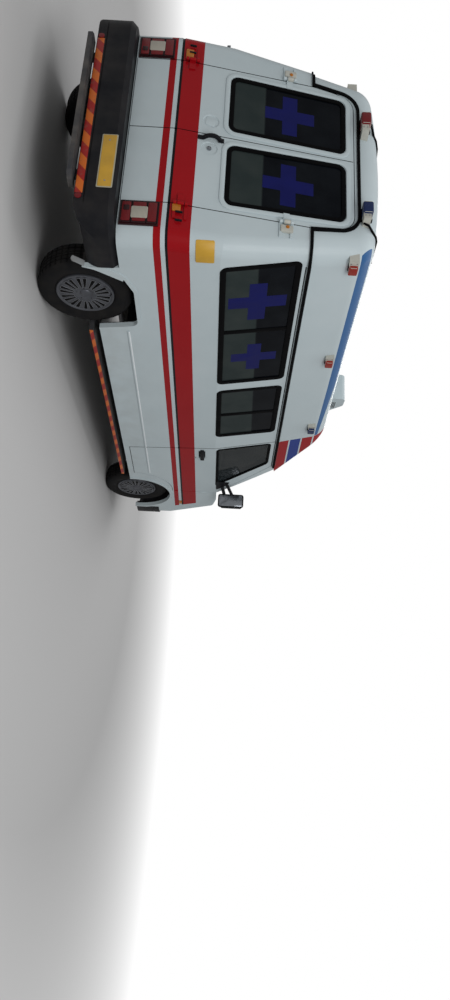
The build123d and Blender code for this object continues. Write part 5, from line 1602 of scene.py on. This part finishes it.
def wipers():
    """Two wipers, each lying on the windscreen on its own spindle at the scuttle."""
    for number, foot_y in enumerate((-0.560, 0.080)):
        route = []
        for k in range(9):
            share = k / 8
            start = (5.0, foot_y + WIPER_REACH * share, WIPER_Z + WIPER_RISE * share)
            route.append(touch("windscreen", start, (-1, 0, 0)))
        arm = bmesh.new()
        bar(arm, [point + normal * (0.024 - 0.008 * k / 8) for k, (point, normal) in enumerate(route[:7])],
            0.0045, 10)
        blade = bmesh.new()
        bar(blade, [point + normal * 0.0060 for point, normal in route], 0.0045, 8)
        bar(blade, [point + normal * 0.0115 for point, normal in route], 0.0035, 8)
        for k in (1, 3, 5, 7):
            point, normal = route[k]
            rod(blade, point + normal * 0.004, point + normal * 0.0150, 0.0045, 10)
        foot = route[0][0] + route[0][1] * 0.002
        rod(arm, foot, foot + route[0][1] * 0.030, 0.013, 20)
        piece(f"wiper_arm_{number}", arm, CHARCOAL, "body")
        piece(f"wiper_blade_{number}", blade, RUBBER, "body")


BOWL_Z = 0.858


def headlamp_details():
    """In each clear lamp block: two silvered bowls with their bulbs."""
    for side_name, side in SIDES:
        bowls = bmesh.new()
        bulbs = bmesh.new()
        for y, radius in ((0.530, 0.066), (0.640, 0.044)):
            depths = []
            for k in range(12):
                angle = math.radians(30 * k)
                start = (5.0, side * (y + radius * math.cos(angle)), BOWL_Z + radius * math.sin(angle))
                depths.append(touch("headlamps", start, (-1, 0, 0))[0].x)
            x = min(depths) - 0.004
            place = facing((x, side * y, BOWL_Z), (1, 0, 0), (0, 0, 1))
            bowl = bmesh.new()
            lathe(bowl, [
                (radius, 0.0), (radius * 0.92, -0.008), (radius * 0.72, -0.022), (radius * 0.42, -0.034),
                (0.012, -0.040), (0.012, -0.044), (radius * 0.50, -0.038), (radius * 0.80, -0.024),
                (radius + 0.003, -0.004), (radius + 0.003, 0.0), (radius, 0.0),
            ], 40)
            put(bowl, place)
            bowls = joined(bowls, bowl)
            verts = peg(bulbs, place, -0.040, -0.012, 0.008, 20, 0.007)
            soften(bulbs, 0.003, 3, verts)
        piece(f"lamp_bowls_{side_name}", bowls, BOWL_SILVER, "body")
        piece(f"lamp_bulbs_{side_name}", bulbs, CLEAR_LENS, "body")


def follow(node, heights, y_low, y_high, back, count=24):
    """A thin wall that follows a node's front: heights are (z to look at, z of the wall, x shift)."""
    bm = bmesh.new()
    bmesh.ops.create_grid(bm, x_segments=count, y_segments=len(heights) - 1, size=0.5)
    levels = sorted({round(v.co.y, 4) for v in bm.verts})
    for v in bm.verts:
        look_z, z, shift = heights[levels.index(round(v.co.y, 4))]
        y = y_low + (v.co.x + 0.5) * (y_high - y_low)
        point, _ = touch(node, (5.0, y, look_z), (-1, 0, 0))
        v.co = (point.x - back + shift, y, z)
    bmesh.ops.solidify(bm, geom=bm.faces[:], thickness=0.004)
    bmesh.ops.recalc_face_normals(bm, faces=bm.faces)
    return bm


def nose_openings():
    """Dark walls behind the grille and the bumper's air slot, and the slot's three slats."""
    core = follow("grille", [(0.8285, 0.752, 0.0), (0.8285, 0.800, 0.0), (0.8285, 0.974, -0.072)], -0.425,
                  0.425, 0.030)
    piece("grille_core", core, DIAL, "body")
    slats = bmesh.new()
    for z in (0.485, 0.5025, 0.520):
        wall = follow("front_bumper", [(0.450, z - 0.003, 0.0), (0.450, z + 0.003, 0.0)], -0.322, 0.322,
                      0.014, 16)
        slats = joined(slats, wall)
    piece("air_slot_slats", slats, CHARCOAL, "body")
    core = follow("front_bumper", [(0.450, 0.473, 0.0), (0.450, 0.532, 0.0)], -0.326, 0.326, 0.036, 16)
    piece("air_slot_core", core, DIAL, "body")


FOG_LAMP_Z = 0.505


def fog_lamps():
    """A dark cup and a domed lens on each side of the bumper."""
    for side_name, side in SIDES:
        beside, _ = touch("front_bumper", (5.0, side * 0.612, FOG_LAMP_Z), (-1, 0, 0))
        place = facing((beside.x - 0.002, side * 0.560, FOG_LAMP_Z), (1, 0, 0), (0, 0, 1))
        cup = bmesh.new()
        peg(cup, place, -0.030, -0.001, 0.0405, 40)
        piece(f"fog_cup_{side_name}", cup, DIAL, "body")
        lens_shape = bmesh.new()
        lathe(lens_shape, [(0, 0.012), (0.014, 0.0112), (0.028, 0.0085), (0.037, 0.004), (0.0385, 0.0),
                           (0.030, -0.001), (0, -0.001)], 40)
        put(lens_shape, place)
        piece(f"fog_lens_{side_name}", lens_shape, CLEAR_LENS, "body")


def washer_jets():
    """The two washer jets on the bonnet."""
    jets = bmesh.new()
    for y in (-0.280, 0.280):
        point, normal = touch("bonnet", (3.800, y, 2.0), (0, 0, -1))
        verts = slab(jets, (0.026, 0.018, 0.010), facing(point + normal * 0.003, normal, (1, 0, 0)))
        soften(jets, 0.003, 2, verts)
    piece("washer_jets", jets, CHARCOAL, "bonnet")


def front_door_trim(side_name, side):
    """The lining panel inside a front door, with its armrest, handle, window crank and pocket."""
    door = f"door_{side_name}"
    inward = facing((2.800, side * 0.9045, 0.900), (0, -side, 0), (0, 0, 1))
    corners = [(-0.400, -0.330), (0.330, -0.330), (0.400, 0.300), (-0.400, 0.330)]
    if side > 0:
        corners = [(-x, y) for x, y in corners][::-1]
    panel = plate(corners, 0.030, 0.009, inward, 0.003, -0.001)
    piece(f"door_trim_{side_name}", panel, TRIM_GREY, door)
    block(f"door_armrest_{side_name}", (2.560, 2.860, side * 0.850, side * 0.900, 1.010, 1.050), 0.012,
          CHARCOAL, door, "black_plastic", 4)
    parts = bmesh.new()
    soft_span(parts, (2.900, 2.990, side * 0.886, side * 0.900, 1.120, 1.145), 0.005, 3)
    rod(parts, (2.760, side * 0.900, 0.880), (2.760, side * 0.880, 0.880), 0.024, 28)
    bar(parts, [(2.760, side * 0.884, 0.880), (2.700, side * 0.880, 0.930),
                (2.680, side * 0.880, 0.945)], 0.007, 12)
    rod(parts, (2.680, side * 0.884, 0.945), (2.680, side * 0.856, 0.945), 0.012, 20)
    piece(f"door_fittings_{side_name}", parts, CHARCOAL, door)
    block(f"door_pocket_{side_name}", (2.480, 3.060, side * 0.868, side * 0.898, 0.620, 0.740), 0.010,
          TRIM_GREY, door, "black_plastic", 3)


def rear_door_trim(side_name, side):
    """The two lining panels inside a rear door, below and above its crease."""
    for name, low, high in (("low", 0.700, 0.930), ("high", 1.000, 1.260)):
        lean = REAR_LEAN if low > REAR_CREASE_Z else 0.0
        middle = (low + high) / 2
        place = facing((rear_x(middle) + 0.0395, side * 0.325, middle), (1, 0, -lean), (lean, 0, 1))
        panel = plate(rectangle(0.480, high - low), 0.020, 0.005, place, 0.002, 0.0)
        piece(f"rear_trim_{name}_{side_name}", panel, LINING, f"rear_door_{side_name}")


def door_trims():
    for side_name, side in SIDES:
        front_door_trim(side_name, side)
        rear_door_trim(side_name, side)


def roof_vent_details():
    low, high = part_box("roof_vent")
    low, high = STANDING.inverted() @ low, STANDING.inverted() @ high
    middle = (low + high) / 2
    louvres = bmesh.new()
    for side in (-1, 1):
        for k in range(5):
            z = middle.z - 0.010 + 0.014 * k
            point, normal = touch("roof_vent", (middle.x, side * 0.9, z), (0, -side, 0))
            slab(louvres, (0.150, 0.006, 0.005),
                 facing(point, normal, (0, 0, 1)) @ Matrix.Rotation(0.5, 4, "X"))
    soften(louvres, 0.001)
    piece("vent_louvres", louvres, CHARCOAL, "body")


GRAB_RAIL_Y = -0.25


def cargo_area():
    """A grab rail along the ceiling of the load space."""
    rail = bmesh.new()
    top, _ = touch("high_roof", (0.3, GRAB_RAIL_Y, 1.9), (0, 0, 1))
    height = top.z - 0.075
    line = [(-0.150, top.z - 0.004), (-0.150, height + 0.02), (-0.130, height), (1.330, height),
            (1.350, height + 0.02), (1.350, top.z - 0.004)]
    bar(rail, [(x, GRAB_RAIL_Y, z) for x, z in line], 0.011, 14)
    piece("grab_rail", rail, STEEL, "body")


# Stage, lights and camera


def white_for_camera(tree):
    """A socket that is 1 for camera and transmission rays and 0 for the light and its reflections."""
    path = tree.nodes.new("ShaderNodeLightPath")
    first = tree.nodes.new("ShaderNodeMath")
    first.operation = "MAXIMUM"
    tree.links.new(path.outputs["Is Camera Ray"], first.inputs[0])
    tree.links.new(path.outputs["Is Transmission Ray"], first.inputs[1])
    return first.outputs[0]


LIGHT_STRENGTH = 0.40


def world():
    made = bpy.data.worlds.new("soft_studio")
    bpy.context.scene.world = made
    made.use_nodes = True
    tree = made.node_tree
    background = tree.nodes["Background"]
    background.inputs["Color"].default_value = (1, 1, 1, 1)
    seen = white_for_camera(tree)
    strength = tree.nodes.new("ShaderNodeMapRange")
    tree.links.new(seen, strength.inputs["Value"])
    strength.inputs["To Min"].default_value = LIGHT_STRENGTH
    strength.inputs["To Max"].default_value = 1.0
    tree.links.new(strength.outputs["Result"], background.inputs["Strength"])


def floor():
    bm = bmesh.new()
    bmesh.ops.create_grid(bm, x_segments=1, y_segments=1, size=60)
    mesh = bpy.data.meshes.new("studio_floor")
    bm.to_mesh(mesh)
    bm.free()
    ground = bpy.data.objects.new("studio_floor", mesh)
    ground.location.z = -0.0005
    bpy.context.scene.collection.objects.link(ground)
    finish = Finish("studio_floor", (0.55, 0.55, 0.55, 1), 0.8)
    mesh.materials.append(finish.material)
    tree = finish.tree
    distance = finish.node("ShaderNodeVectorMath", operation="LENGTH")
    tree.links.new(finish.object_place(), distance.inputs[0])
    away = finish.ramped(distance.outputs["Value"], 4.5, 11.0)
    share = finish.times(away, white_for_camera(tree))
    glow = finish.node("ShaderNodeEmission")
    glow.inputs["Strength"].default_value = 1.0
    blend = finish.node("ShaderNodeMixShader")
    tree.links.new(share, blend.inputs[0])
    tree.links.new(finish.shader.outputs[0], blend.inputs[1])
    tree.links.new(glow.outputs[0], blend.inputs[2])
    tree.links.new(blend.outputs[0], tree.nodes["Material Output"].inputs["Surface"])


def lamp(name, place, target, size, power):
    data = bpy.data.lights.new(name, "AREA")
    data.shape = "RECTANGLE"
    data.size, data.size_y = size
    data.energy = power
    made = bpy.data.objects.new(name, data)
    made.location = place
    made.rotation_mode = "QUATERNION"
    made.rotation_quaternion = (Vector(target) - Vector(place)).to_track_quat("-Z", "Y")
    bpy.context.scene.collection.objects.link(made)


CAMERA_FROM_REAR_AXLE = Vector((-4.92, -4.50, 1.56))
CAMERA_YAW = math.radians(22.64)
CAMERA_PITCH = math.radians(-1.47)
CAMERA_ROLL = math.radians(2.40)
CAMERA_LENS = 29.8


def camera():
    """The photo's own viewpoint, its picture turned a quarter as the photo is."""
    yaw, pitch, roll = CAMERA_YAW, CAMERA_PITCH, CAMERA_ROLL
    ahead = Vector((math.cos(yaw) * math.cos(pitch), math.sin(yaw) * math.cos(pitch), math.sin(pitch)))
    right = Vector((math.sin(yaw), -math.cos(yaw), 0))
    up = right.cross(ahead)
    turned_right = math.cos(roll) * right + math.sin(roll) * up
    turned_up = -math.sin(roll) * right + math.cos(roll) * up
    data = bpy.data.cameras.new("camera")
    data.lens = CAMERA_LENS
    made = bpy.data.objects.new("camera", data)
    place = Matrix((turned_up, -turned_right, -ahead)).transposed().to_4x4()
    place.translation = CAMERA_FROM_REAR_AXLE + Vector((REAR_AXLE_X, 0, 0))
    made.matrix_world = place
    bpy.context.scene.collection.objects.link(made)
    bpy.context.scene.camera = made


def studio():
    bpy.context.scene.view_settings.view_transform = "Standard"
    world()
    floor()
    lamp("key", (-6.5, -6.0, 5.5), (0, 0, 1.2), (5.0, 3.0), 250)
    lamp("fill", (7.0, 5.0, 5.0), (0, 0, 1.0), (5.0, 3.0), 140)
    lamp("top", (0, 0, 7.0), (0, 0, 1.0), (7.0, 4.0), 110)


dress_nodes()
side_windows()
rear_windows()
window_crosses()
tail_lamps()
side_roof_lamps()
rear_roof_lamps()
roof_cables()
wheels()
hinge_covers()
seams()
mud_flaps()
rear_plate()
rear_step_details()
rear_markers()
rear_door_fittings()
drip_details()
side_plate()
side_details()
mirror_heads()
cab_seats()
bench_seat()
stretcher_pads()
stretcher_frame()
stretcher_castors()
stretcher_straps()
steering_wheel()
dashboard_dials()
dashboard_vents()
dashboard_panels()
gear_lever()
foot_pedals()
wipers()
headlamp_details()
nose_openings()
fog_lamps()
washer_jets()
door_trims()
roof_vent_details()
cargo_area()
studio()
camera()
